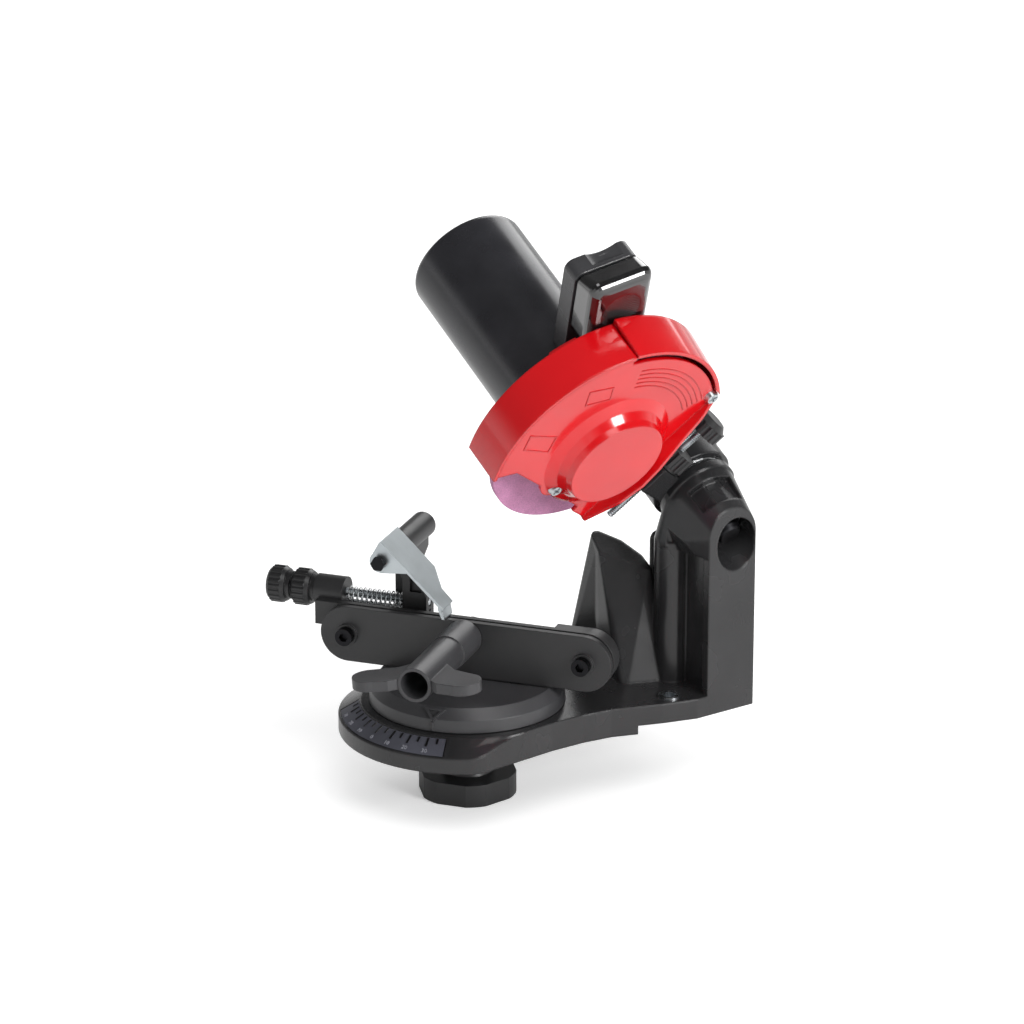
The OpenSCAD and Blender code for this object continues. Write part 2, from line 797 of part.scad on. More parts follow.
// Chain stop: a housing on the rear rail's left end
module stop_housing() {
    color(black) stop_axis() difference() {
        union() {
            xcyl(housing_r, housing_x0, housing_x1);
            box(housing_x0 + 2.6, housing_x1, rear_back - stop_y, 4, -13.8, -2);
            box(housing_x1 - 1, housing_x1 + 3, rear_back - stop_y, -5.2, -13.8, -2);
        }
        xcyl(stop_screw_r + run_fit, housing_x0 - 1, housing_x1 + 1);
        guide_place() xcyl(guide_r + eps, housing_x1 - 12, housing_x1 + 4);
        // Room for the rail's end screw
        box(-70, -60, -15, -stop_y + rear_back + block_d + 0.3, -20, -5);
    }
}
module guide_place() {
    translate([0, 0, -guide_off]) children();
}
module stop_screw() {
    color(steel) stop_axis() xcyl(stop_screw_r, adjust_x1 - stop_knob_t + 2.3, carriage_x0 + 12);
}
module stop_knob() {
    x1 = adjust_x1;
    color(deep_black) stop_axis() difference() {
        union() {
            xslab(x1 - stop_knob_t + 1.5, x1 - 4.2) grooved(stop_knob_r, 20, 0.9);
            xcyl(stop_knob_r - 1.6, x1 - stop_knob_t, x1 - stop_knob_t + 1.51, stop_knob_r - 0.4);
            xcyl(stop_knob_r - 0.2, x1 - 4.21, x1 - 2.2, stop_knob_r - 1.2);
            xcyl(stop_knob_r - 2.2, x1 - 2.3, x1);
        }
        xcyl(stop_screw_r + eps, x1 - stop_knob_t + 2, x1 + 1);
    }
}
module stop_lock_knob() {
    x1 = lock_x1;
    color(deep_black) stop_axis() difference() {
        union() {
            xslab(x1 - stop_knob_t + 1.2, x1 - 4.2) grooved(stop_knob_r, 20, 0.9);
            xcyl(stop_knob_r - 1.6, x1 - stop_knob_t, x1 - stop_knob_t + 1.21, stop_knob_r - 0.4);
            xcyl(stop_knob_r - 0.2, x1 - 4.21, x1 - 2.2, stop_knob_r - 1.2);
            xcyl(stop_knob_r - 2.6, x1 - 2.3, x1);
        }
        xcyl(stop_screw_r + run_fit, x1 - stop_knob_t - 1, x1 + 1);
    }
}
module guide_rod() {
    color(steel) stop_axis() guide_place() xcyl(guide_r, housing_x1 - 12, carriage_x0 + 9);
}
module stop_spring() {
    wire = 0.35;
    len = carriage_x0 - housing_x1 - 2 * (wire + 0.15);
    color(steel) stop_axis() translate([housing_x1 + wire + 0.15, 0, -spring_low]) rotate([0, 90, 0])
        coil(4.45, wire, len, 12, 5, 16);
}
// Carriage with the hinge barrel of the pawl
module stop_carriage() {
    y0 = carriage_y0;
    y1 = carriage_y1;
    color(deep_black) vise() difference() {
        union() {
            yslab(y0, y1) polygon([[carriage_x0, stop_z - 8.5], [carriage_x1, stop_z - 8.5],
                [carriage_x1, stop_z + 4], [-pawl_x + 4.5, pawl_z], [-pawl_x - 5, pawl_z],
                [carriage_x0, stop_z + 12]]);
            translate([-pawl_x, 0, pawl_z]) ycyl(barrel_r, y0, barrel_end);
            translate([-pawl_x - 2, 0, 0]) xslab(0, 5) polygon([[y1 - 1, stop_z - 6], [y1 + 6, stop_z],
                [barrel_end - 1, pawl_z - 10], [barrel_end - 1, pawl_z], [y1 - 1, pawl_z]]);
        }
        // Room for the pawl's web between its ears
        translate([-pawl_x, 0, pawl_z]) {
            ycyl(pawl_pin_r + eps, -20, barrel_end - 4);
            ycyl(barrel_r + 2.4, y0 - 1, pawl_front + pawl_w + free_gap);
        }
        translate([0, stop_y, stop_z]) {
            xcyl(stop_screw_r + run_fit, carriage_x0 - 1, carriage_x0 + 16.5);
            guide_place() xcyl(guide_r + run_fit, carriage_x0 - 1, carriage_x0 + 13);
            // Room for the spring
            translate([0, 0, -spring_low]) xcyl(5.2, carriage_x0 - 20, carriage_x0);
        }
        // Lightening pocket on the front
        yslab(y0 - 1, y0 + 2) translate([carriage_x0, stop_z])
            polygon([[4, 6], [10, 6], [8, 12], [4, 15]]);
    }
}
module pawl_pin() {
    y0 = pawl_front - pawl_t - 0.1;
    color(deep_black) vise() translate([-pawl_x, 0, pawl_z]) {
        ycyl(pawl_pin_r, y0 - eps, barrel_end - 4.2);
        translate([0, y0, 0]) rotate([90, 0, 0]) cylinder(h = 2, r = pawl_pin_r + 1.2, $fn = 6);
    }
}
// Pawl: a bent sheet with two ears on the pin and a narrow tip over the slit
module pawl() {
    n = 7.7;
    slope = 43.5;
    len1 = 38.5;
    y0 = pawl_front;
    y1 = pawl_front + pawl_w;
    color(zinc) vise() translate([-pawl_x, 0, pawl_z]) difference() {
        union() {
            rotate([0, slope, 0]) translate([0, 0, n - pawl_t]) linear_extrude(pawl_t)
                polygon([[-7, y0], [len1 - 1.5, y0], [len1 - 1.5, y0 + 12.5], [29, y0 + 13],
                    [19, y1], [-7, y1]]);
            for (y = [y0, y1 - pawl_t]) yslab(y, y + pawl_t) union() {
                circle(ear_r);
                rotate(-slope) polygon([[-ear_r, 0], [-7, n - pawl_t + 0.3], [13, n - pawl_t + 0.3],
                    [4, -ear_r + 1.5]]);
            }
            pawl_tip(y0, slope, len1, n);
        }
        ycyl(pawl_pin_r + run_fit, -30, 40);
    }
}
module pawl_tip(y0, slope, len1, n) {
    reach = len1 - 3;
    rise = n - pawl_t;
    top = [reach * cos(slope) + rise * sin(slope), -reach * sin(slope) + rise * cos(slope)];
    bottom = rail_top + seat_gap - pawl_z;
    hull() {
        translate([top[0] - 1, y0, top[1] - 0.5]) cube([pawl_t, 12.5, 1.4]);
        translate([top[0] + 0.8, y0 + 0.5, bottom]) cube([pawl_t, 10.5, 0.5]);
    }
}

// Head arm: hinge boss, web, round plate for the motor and block for the depth stop
module head_arm() {
    color(deep_black) head() difference() {
        union() {
            xcyl(arm_boss_r, arm_back, arm_front);
            translate([0, -head_reach, 0]) xcyl(arm_plate_r, arm_back, arm_plate_front);
            translate([0, -head_reach, 0])
                xcyl(motor_r - motor_t - eps, arm_back - motor_spigot_l, arm_back + 1);
            xslab(arm_back, web_front) polygon([[-10, 15], [-10, -15], [-40, -17],
                [-head_reach + 12, -25], [-head_reach + 12, 27]]);
            // Stiffening edge along the web's upper side
            xslab(web_front - 0.1, -49) polygon([[-44, -9], [-44, -17.6], [-head_reach + 22, -24],
                [-head_reach + 22, -16]]);
            // Pad that carries the depth stop
            box(arm_back, depth_s + 7.4, -depth_y - 7.5, -15, -13.4, depth_pad_top);
        }
        xcyl(bolt_r + bush_wall_t + eps, arm_back - 1, arm_front + 1);
        xtube(spring_coil_r + 1.2, spring_coil_r - 1.6, arm_front - spring_sink, arm_front + 1);
        // Room for the column's boss beside the pad
        xcyl(boss_r + 4, arm_front, 0);
        translate([0, -head_reach, 0]) {
            xcyl(bearing_r + eps, bearing_front - bearing_w, 0);
            xcyl(bearing_r - 2, arm_back - 10, 0);
        }
        translate([depth_s, -depth_y, -40]) cylinder(h = 80, r = depth_r + run_fit);
    }
}
module arm_bush() {
    color(brass) head() xtube(bolt_r + bush_wall_t, bolt_r + run_fit, arm_back, arm_front);
}
// Depth stop: a threaded rod that lands on the post
module depth_screw() {
    color(steel) head() translate([depth_s, -depth_y, depth_tip])
        cylinder(h = depth_top - depth_tip + 7.9, r = depth_r);
}
module depth_knob() {
    color(deep_black) head() translate([depth_s, -depth_y, depth_top]) difference() {
        union() {
            linear_extrude(6.3) grooved(depth_knob_r, 14, 1.5);
            translate([0, 0, 6.2]) cylinder(h = 2.8, r1 = depth_knob_r - 0.6, r2 = depth_knob_r - 3.2);
        }
        translate([0, 0, -1]) cylinder(h = 9, r = depth_r + eps);
    }
}
// Knob on the same screw, which locks it on the arm's pad
module depth_lock_knob() {
    z0 = depth_pad_top + seat_gap;
    color(deep_black) head() translate([depth_s, -depth_y, z0]) difference() {
        union() {
            translate([0, 0, 1.5]) linear_extrude(8.5) grooved(depth_lock_r, 12, 1.6);
            cylinder(h = 1.6, r = depth_lock_r - 1.4);
        }
        translate([0, 0, -1]) cylinder(h = 20, r = depth_r + run_fit);
    }
}

// Motor housing: a deep cup with cooling slots in its end
module motor_housing() {
    color(black) spindle() difference() {
        union() {
            xcyl(motor_r, motor_end + 4, motor_front);
            translate([motor_end + 4, 0, 0]) rotate([0, -90, 0]) rotate_extrude()
                union() {
                    square([motor_r - 4, 4]);
                    intersection() {
                        translate([motor_r - 4, 0]) circle(4);
                        square([motor_r, 4]);
                    }
                }
        }
        xcyl(motor_r - motor_t, motor_end + 2.5, motor_front + 1);
        for (a = [0 : 30 : 240]) rotate([a, 0, 0]) xslab(motor_end - 1, motor_end + 6)
            translate([14, -1.2]) square([9, 2.4]);
        xcyl(4, motor_end - 1, motor_end + 6);
        rotate([gland_angle, 0, 0]) translate([0, 16.5, 0])
            xcyl(4.6 + eps, motor_end - 1, motor_end + 8);
    }
    color(black) spindle()
        xtube(rear_bearing_r + 2.5, rear_bearing_r + eps, motor_end + 2.4, motor_end + 2.5 + rear_bearing_w);
}
module magnets() {
    color("#3a3d42") spindle() for (a = [0, 180]) rotate([a, 0, 0]) intersection() {
        xtube(motor_r - motor_t - eps, 18.6, motor_front - 66, motor_front - 18);
        xslab(motor_front - 67, motor_front - 17) wedge(60, 20, 160);
    }
}
module brush_gear() {
    s0 = motor_end + 14;
    color("#5a4632") spindle() {
        difference() {
            xtube(motor_r - motor_t - eps, motor_r - motor_t - 4, s0 - 4, s0 + 8);
            for (a = [0, 180]) rotate([a, 0, 0]) box(s0 - 1, s0 + 5, 0, 40, -2.5, 2.5);
        }
        for (a = [0, 180]) rotate([a, 0, 0]) box(s0 - 1, s0 + 5, 9.4, 25.6, -2.5, 2.5);
    }
}
module front_bearing() {
    color(steel) spindle() xtube(bearing_r, shaft_r + eps, bearing_front - bearing_w, bearing_front);
}
module rear_bearing() {
    s0 = motor_end + 2.5;
    color(steel) spindle() xtube(rear_bearing_r, rear_shaft_r + eps, s0, s0 + rear_bearing_w);
}
module spindle_shaft() {
    color(steel) spindle() {
        xcyl(shaft_r, motor_end + 12, wheel_front + 10.5);
        xcyl(rear_shaft_r, motor_end + 2.6, motor_end + 12.1);
    }
}
module armature() {
    s0 = motor_front - 62;
    color(copper) spindle() difference() {
        union() {
            xslab(s0, s0 + 40) difference() {
                circle(17.6);
                for (a = [0 : 30 : 330]) rotate(a) translate([14.6, -1.1]) square([5, 2.2]);
            }
            xcyl(14, s0 - 6, s0 + 46);
        }
        xcyl(shaft_r + eps, s0 - 20, s0 + 60);
    }
}
module commutator() {
    s0 = motor_end + 12.2;
    color(copper) spindle() xtube(9, shaft_r + eps, s0, s0 + 10);
}
module fan() {
    s1 = motor_front - motor_spigot_l - 1.5;
    color("#d9d6cc") spindle() difference() {
        union() {
            xcyl(8, s1 - 9, s1);
            xcyl(24, s1 - 1.5, s1);
            for (a = [0 : 36 : 324]) rotate([a, 0, 0]) box(s1 - 9, s1 - 1, 7, 24, -0.7, 0.7);
        }
        xcyl(shaft_r + eps, s1 - 20, s1 + 10);
    }
}
// Flanges that hold the wheel
module inner_flange() {
    color(steel) spindle() difference() {
        union() {
            xcyl(flange_r, wheel_back - 2.6, wheel_back);
            xcyl(wheel_bore_r - run_fit, wheel_back - eps, wheel_front - 0.4);
            xcyl(8, wheel_back - 8, wheel_back - 2.5);
        }
        xcyl(shaft_r + eps, -80, 0);
    }
}
module outer_flange() {
    color(steel) spindle() difference() {
        union() {
            xcyl(flange_r, wheel_front, wheel_front + 1.8);
            xcyl(flange_r, wheel_front + 1.79, wheel_front + 3, 12);
        }
        xcyl(shaft_r + eps, -80, 0);
    }
}
module wheel_nut() {
    s0 = wheel_front + 3.02;
    color(steel) spindle() difference() {
        translate([s0, 0, 0]) rotate([0, 90, 0]) cylinder(h = nut_w_h, r = 7.4, $fn = 6);
        xcyl(shaft_r + eps, s0 - 1, s0 + 20);
    }
}
module grinding_wheel() {
    color(pink) spindle() difference() {
        xcyl(wheel_r, wheel_back + eps, wheel_front - eps);
        xcyl(wheel_bore_r, -80, 0);
    }
}

// Guard
module guard_shape(r) {
    intersection() {
        circle(r);
        translate([-80, -31]) square([80 + guard_chord, 120]);
    }
    intersection() {
        circle(r);
        polygon([[-30, -30], [-30, 0], [-80, 0], [-80, -64]]);
    }
}
module ring_wall(r0, r1, a0, a1, s0, s1) {
    intersection() {
        xtube(r1, r0, s0, s1);
        xslab(s0 - 1, s1 + 1) wedge(90, a0, a1);
    }
}
// Rear half of the guard, bolted between the arm and the wheel
module wheel_guard() {
    color(red) spindle() difference() {
        union() {
            xslab(guard_back, guard_back + guard_t) intersection() {
                guard_shape(guard_r - guard_t - free_gap);
                translate([rear_band_y, rear_band_z]) circle(rear_band_r - 0.3);
            }
            rear_band(rear_band_r - guard_t, rear_band_r, guard_back, guard_front);
            rear_band(rear_band_r - guard_t - 2, rear_band_r - 0.5, guard_back, guard_back + guard_t);
            rim_screw_place() xcyl(4.4, guard_back, cover_back - 0.05);
        }
        xcyl(14, -80, 0);
        // The post is cut away beside the wheel
        xcyl(wheel_r + free_gap, wheel_back - 1, wheel_front + 1);
        rim_screw_place() {
            xcyl(cover_screw_r + eps, guard_back - 1, 0);
            xcyl(cover_head_r + 0.2, cover_face - 0.1, 0);
        }
    }
}
// Band of the rear half, a little off the spindle's axis
module rear_band(r0, r1, s0, s1) {
    intersection() {
        translate([0, rear_band_y, rear_band_z]) difference() {
            xcyl(r1 + band_draft, s0, s1, r1);
            xcyl(r0 + band_draft, s0 - 0.01, s1 + 0.01, r0);
        }
        xslab(s0 - 1, s1 + 1) wedge(90, split_a0, split_a1 - band_gap);
    }
}
// Screw that joins the cover to the guard's post, outside the wheel
module rim_screw_place() {
    rotate([60.5, 0, 0]) translate([0, wheel_r + free_gap + cover_screw_r + 0.6, 0]) children();
}
// Screw at the foot of the hub, in a boss of the cover
module hub_screw_place() {
    translate([0, -6.5, -28.6]) children();
}
// Front cover with the round hub
module guard_cover() {
    color(red) spindle() difference() {
        union() {
            xslab(cover_back, cover_face) cover_shape(guard_r - guard_t + eps);
            ring_wall(guard_r - guard_t, guard_r, split_a1 + band_gap, band_a1, guard_back, guard_front);
            ring_wall(guard_r - guard_t - 1, guard_r - 1, 150, 163, guard_back - 1.4, guard_back + 0.1);
            // Skirt along the flat side, arched in front of the hub
            yslab(guard_chord - guard_t, guard_chord) translate([guard_front, 0]) polygon([
                [-10, -34], [0.3, -35], [6.4, -16.5], [8.1, -3], [7.4, 8], [5.6, 19], [4, 28],
                [3, 36], [2.2, 40], [0, 47], [-10, 44]
            ]);
            hub_screw_place() xcyl(3.6, cover_back - hub_screw_l, cover_back + 0.1);
            xcyl(hub_r + 8, cover_face - eps, cover_face + 3, hub_r + 3);
            xcyl(hub_r + 3, cover_face + 2.99, hub_face - 3, hub_r + 0.4);
            xcyl(hub_r + 0.4, hub_face - 3.01, hub_face, hub_r - 0.8);
        }
        xcyl(hub_r - 2.4, cover_back - 1, hub_face - 2);
        rim_screw_place() {
            xcyl(2.1, -80, 0);
            xcyl(cover_head_r + 0.2, cover_face, 0);
        }
        hub_screw_place() {
            xcyl(cover_screw_r + eps, cover_back - hub_screw_l - 1, 0);
            xcyl(cover_head_r + 0.2, cover_face, 0);
        }
        translate([0, 80 + guard_chord, 0]) cube([160, 160, 160], center = true);
    }
}
module cover_shape(r) {
    intersection() {
        circle(r);
        union() {
            intersection() {
                translate([-80, -31]) square([80 + guard_chord, 120]);
                union() {
                    circle(r - 4.2);
                    wedge(90, split_a1 + band_gap, band_a1);
                }
            }
            intersection() {
                polygon([[-30, -30], [-30, 0], [-80, 0], [-80, -64]]);
                wedge(90, split_a1 + band_gap, band_a1);
            }
        }
    }
    translate([-9, -25]) circle(9);
    translate([20, -34.3]) square([guard_chord - 20, 10]);
}
module guard_screws() {
    color(steel) spindle() {
        rim_screw_place() cover_screw(cover_face - guard_back - 2);
        hub_screw_place() cover_screw(guard_t + hub_screw_l - 0.5);
    }
}
module cover_screw(len) {
    difference() {
        union() {
            xcyl(cover_screw_r, cover_face - len, cover_face + eps);
            xcyl(cover_head_r, cover_face, cover_face + 2.2, 2.8);
        }
        box(cover_face + 1.2, cover_face + 4, -0.5, 0.5, -2, 2);
        box(cover_face + 1.2, cover_face + 4, -2, 2, -0.5, 0.5);
    }
}

// Handle: a rear shell, an inner plate with a collar, and a deep paddle over the collar
module handle_plan(y0, y1, inset) {
    h = handle_w / 2 - inset;
    rrect(y0, -h, y1 - inset, h, 4.5 - min(inset, 3));
}
module handle_back() {
    color(deep_black) grip() difference() {
        union() {
            // Rear shell, with a shallow wave in its end
            difference() {
                xslab(grip_back, grip_rim) handle_plan(22, handle_end - 4.4, 0);
                translate([0, handle_end + 11.6, -2]) xcyl(18, grip_back - 1, grip_back + 7, 18);
            }
            // Neck that carries the shell on the arm's plate
            xslab(grip_rim - 0.1, guard_back - 1.4) rrect(24, -handle_w / 2 + 5, 47, handle_w / 2 - 7, 4);
        }
        translate([0, -grip_y, -grip_z]) {
            xcyl(motor_r + 0.02, motor_end, arm_back + 0.02);
            xcyl(arm_plate_r + 0.02, arm_back, 0);
        }
        xslab(grip_back + grip_skin, 0) handle_plan(48, handle_end - 4.4, grip_skin);
        handle_screw_places() xcyl(1.5 + eps, grip_back + 1, 0);
    }
    color(deep_black) grip() handle_screw_places()
        xtube(3.2, 1.5 + eps, grip_back + grip_skin - eps, plate_front - plate_t - 0.05);
}
module handle_screw_places() {
    for (z = [-1, 1]) translate([0, 55, z * (handle_w / 2 - 6)]) children();
}
// Inner plate with the collar that guides the paddle
module handle_front() {
    color(deep_black) grip() difference() {
        union() {
            xslab(plate_front - plate_t, plate_front) handle_plan(48.6, handle_end - 4.4, grip_skin + 0.3);
            box(plate_front - 0.1, paddle_back + 7, collar_y0, collar_y1, -collar_half, collar_half);
        }
        box(plate_front - 10, 0, collar_y0 + 1.6, collar_y1 - 1.6, -collar_half + 1.6, collar_half - 1.6);
        handle_screw_places() xcyl(1.7, -80, 0);
    }
}
module handle_screws() {
    color(steel) grip() handle_screw_places() {
        xcyl(1.5, grip_back + 4, plate_front + eps);
        xcyl(2.6, plate_front, plate_front + 1.2);
    }
}
module switch_body() {
    color("#3c4046") grip() box(grip_back + grip_skin + 0.3, plate_front + 1.5, collar_y0 + 1.9,
        collar_y1 - 1.9, -collar_half + 1.9, collar_half - 1.9);
}
// Paddle that is pressed to run the motor: a deep cap with a slanted round edge
module switch_paddle() {
    h = handle_w / 2;
    color(gloss_black) grip() difference() {
        hull() {
            xslab(paddle_back, paddle_back + 1) rrect(paddle_low, -h - 0.4, handle_end - 4.6, h - 0.6, 4);
            // The edge of the face is round
            for (t = [0 : 15 : 90]) {
                in = edge_r * (1 - cos(t));
                s = paddle_front - edge_r * (1 - sin(t));
                xslab(s - 0.05, s)
                    rrect(paddle_low, -h + 0.3 + in, handle_end - 1.3 * in, h - in, 5 - 0.6 * in);
            }
        }
        // Hollow that slides over the collar
        xslab(paddle_back - 1, paddle_front - 5) rrect(collar_y0 - close_fit, -collar_half - close_fit,
            collar_y1 + close_fit, collar_half + close_fit, 0.5);
        xslab(paddle_back - 1, paddle_front - 7)
            rrect(paddle_low + 2, -h + 2.5, handle_end - 8.4, h - 2.5, 2);
        // Arched dish in the face
        translate([paddle_front + 47, 70, 0]) sphere(48.2, $fn = 90);
    }
}
module paddle_spring() {
    x0 = plate_front + 1.6;
    color(steel) grip() translate([x0, 71, 0]) rotate([0, 90, 0])
        coil(4, 0.4, paddle_front - 5.1 - x0, 4, 5, 12);
}
// Grommet where the lead would enter
module cord_gland() {
    color(deep_black) spindle() rotate([gland_angle, 0, 0]) translate([0, 16.5, 0]) difference() {
        union() {
            xcyl(4.6, motor_end - 0.1, motor_end + 3);
            xcyl(6.2, motor_end - 4, motor_end);
        }
        xcyl(3, motor_end - 10, motor_end + 10);
    }
}

base_frame();
angle_scale();
bench_bushes();
hinge_bolt();
hinge_washer();
hinge_nut();
head_spring();
turntable();
pivot_stud();
stud_washer();
lock_knob();
knob_insert();
vise_saddle();
rear_rail();
front_rail();
rail_screws();
rail_springs();
clamp_stud();
wing_screw();
stop_housing();
stop_screw();
stop_knob();
stop_lock_knob();
guide_rod();
stop_spring();
stop_carriage();
pawl_pin();
pawl();
head_arm();
arm_bush();
depth_screw();
depth_knob();
depth_lock_knob();
motor_housing();
magnets();
brush_gear();
front_bearing();
rear_bearing();
spindle_shaft();
armature();
commutator();
fan();
inner_flange();
outer_flange();
wheel_nut();
grinding_wheel();
wheel_guard();
guard_cover();
guard_screws();
handle_back();
handle_front();
handle_screws();
switch_body();
switch_paddle();
paddle_spring();
cord_gland();
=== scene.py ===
"""Looks of a bench sharpener for saw chains: finishes for its pieces, and the fine pieces on them.

Laid out as a Blender add-on and run as a script. Lengths are in millimetres until they reach
Blender, where MM turns them to metres.
"""

import json
import math

import bpy
from mathutils import Matrix, Vector


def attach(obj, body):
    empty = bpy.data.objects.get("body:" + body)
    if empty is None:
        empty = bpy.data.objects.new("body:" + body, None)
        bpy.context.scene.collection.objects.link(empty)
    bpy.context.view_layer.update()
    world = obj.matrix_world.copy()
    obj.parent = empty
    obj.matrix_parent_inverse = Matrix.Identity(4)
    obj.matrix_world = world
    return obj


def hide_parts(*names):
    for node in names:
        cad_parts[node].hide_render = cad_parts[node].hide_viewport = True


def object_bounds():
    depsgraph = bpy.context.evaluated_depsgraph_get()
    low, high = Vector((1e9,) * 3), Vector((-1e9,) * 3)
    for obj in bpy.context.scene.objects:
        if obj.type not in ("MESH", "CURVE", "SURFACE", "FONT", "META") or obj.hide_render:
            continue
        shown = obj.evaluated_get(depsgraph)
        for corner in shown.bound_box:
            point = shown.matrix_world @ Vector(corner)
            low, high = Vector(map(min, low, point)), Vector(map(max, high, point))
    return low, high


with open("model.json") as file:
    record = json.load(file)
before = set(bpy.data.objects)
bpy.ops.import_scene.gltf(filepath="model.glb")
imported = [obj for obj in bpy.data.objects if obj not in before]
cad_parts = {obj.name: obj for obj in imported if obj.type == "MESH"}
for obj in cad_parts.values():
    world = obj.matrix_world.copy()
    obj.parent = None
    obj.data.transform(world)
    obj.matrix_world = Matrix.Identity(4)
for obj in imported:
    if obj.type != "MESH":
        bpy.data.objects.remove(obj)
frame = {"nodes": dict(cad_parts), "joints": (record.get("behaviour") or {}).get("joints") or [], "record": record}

bl_info = {
    "name": "Chain sharpener looks",
    "version": (1, 0, 0),
    "blender": (4, 5, 0),
    "location": "3D View > Sidebar > Sharpener",
    "description": "Finishes and fine pieces of a bench sharpener for saw chains",
    "category": "Object",
}

MM = 0.001
CAD_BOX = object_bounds()


# ---------------------------------------------------------------- places from the frame

def joint(name):
    """The frame's joint of that name."""
    return next(j for j in frame["joints"] if j["name"] == name)


def joint_point(name):
    return Vector(joint(name)["pos_m"])


def joint_axis(name):
    return Vector(joint(name)["axis"]).normalized()


def basis(origin, x_axis, y_hint):
    """Frame with its X along x_axis and its Y as near to y_hint as it can be."""
    x = x_axis.normalized()
    y = (y_hint - x * y_hint.dot(x)).normalized()
    z = x.cross(y)
    turn = Matrix((x, y, z)).transposed().to_4x4()
    return Matrix.Translation(origin) @ turn


# Spindle frame: X along the spindle, Y from the spindle towards the hinge, origin level with
# the hinge's mid point
SPINDLE_AXIS = joint_axis("wheel_spin")
HINGE_POINT = joint_point("head_tilt")
HINGE_AT = -45 * MM
SPINDLE_POINT = joint_point("wheel_spin")
TOWARDS_HINGE = HINGE_POINT - SPINDLE_POINT
HINGE_LEVEL = HINGE_POINT - SPINDLE_AXIS * HINGE_AT
ALONG = (HINGE_LEVEL - SPINDLE_POINT).dot(SPINDLE_AXIS)
SPINDLE = basis(SPINDLE_POINT + SPINDLE_AXIS * ALONG, SPINDLE_AXIS, TOWARDS_HINGE)

# Handle frame: X along the spindle, Y outward along the handle, Z across it
HANDLE_ANGLE = math.radians(140)
HANDLE_SHIFT = Vector((0, -2.2, -12.1)) * MM
GRIP = SPINDLE @ Matrix.Rotation(HANDLE_ANGLE, 4, "X") @ Matrix.Translation(HANDLE_SHIFT)

# Deck frame: origin on the turntable's axis, at the top of the deck
DECK = Matrix.Translation(joint_point("turntable_swivel"))

# Sloping rim of the base: its inner edge, width and drop, and the scale's zero in degrees from
# the front
RIM_INNER = 50.3 * MM
RIM_WIDTH = 11.2 * MM
RIM_DROP = 6.8 * MM
SCALE_ZERO = 5

# Marks and numbers of the scale, outward from the inner edge of the rim
MARK_DEGREES = 5
NUMERAL_DEGREES = 10
MARK_START = 1.6 * MM
LONG_MARK = 5.0 * MM
SHORT_MARK = 3.0 * MM
MARK_WIDTH = 1.0 * MM
MARK_HEIGHT = 0.34 * MM
MARK_MIDDLE = 0.05 * MM
MARK_EDGE = 0.12 * MM
NUMERAL_START = 8.1 * MM
NUMERAL_RAISE = 0.18 * MM

# Words of the guard's cover stand as plain beads between two angles round the spindle
BEAD_ROWS = 5
BEAD_INNER = 40.5 * MM
BEAD_SPACING = 2.6 * MM
BEAD_FROM = math.radians(62)
BEAD_TO = math.radians(126)
BEAD_RADIUS = 0.35 * MM
SCREW_HEAD = 2.2 * MM

# Corners of the two plain frames, from the spindle, in millimetres
LOWER_FRAME = ((-49, -20), (-54, -12), (-38, -6), (-33, -15))
UPPER_FRAME = ((-47, 20), (-36, 28), (-30, 22), (-41, 13))
FRAME_BORDER = 0.7 * MM
FRAME_HEIGHT = 0.3 * MM
FRAME_SINK = 0.05 * MM

# Ridge of a thread: how far its foot lies inside the core, and half its foot, in pitches
THREAD_SINK = 0.05 * MM
THREAD_FOOT = 0.46
THREAD_STEPS = 24
STOP_THREAD_SHARE = 0.8

# Dish of the paddle, from the spindle along the handle
DISH_MIDDLE = 70 * MM
DISH_RADIUS = 10 * MM

# Camera: a long lens from the front right, a little above
CAMERA_AT = Vector((1632.07, -1210.80, 800.26)) * MM
CAMERA_TARGET = Vector((-10.34, -48.97, 95.45)) * MM
CAMERA_LENS = 157.96
CAMERA_SENSOR = 36

# Studio: floor, sky, and each lamp's name, azimuth, elevation, distance, size and power
FLOOR_SIZE = 12
FLOOR_GAP = 0.2 * MM
FLOOR_LIFT = 0.35
SKY_LEVEL = 0.5
LAMP_TARGET = Vector((-0.01, -0.05, 0.09))
LAMPS = (
    ("key_panel", 13, 19, 2.2, 0.7, 33),
    ("front_panel", -20, 58, 2.2, 1.2, 13),
    ("rear_panel", 126, 31, 2.1, 1.2, 13),
)


# ---------------------------------------------------------------- sizes and colours

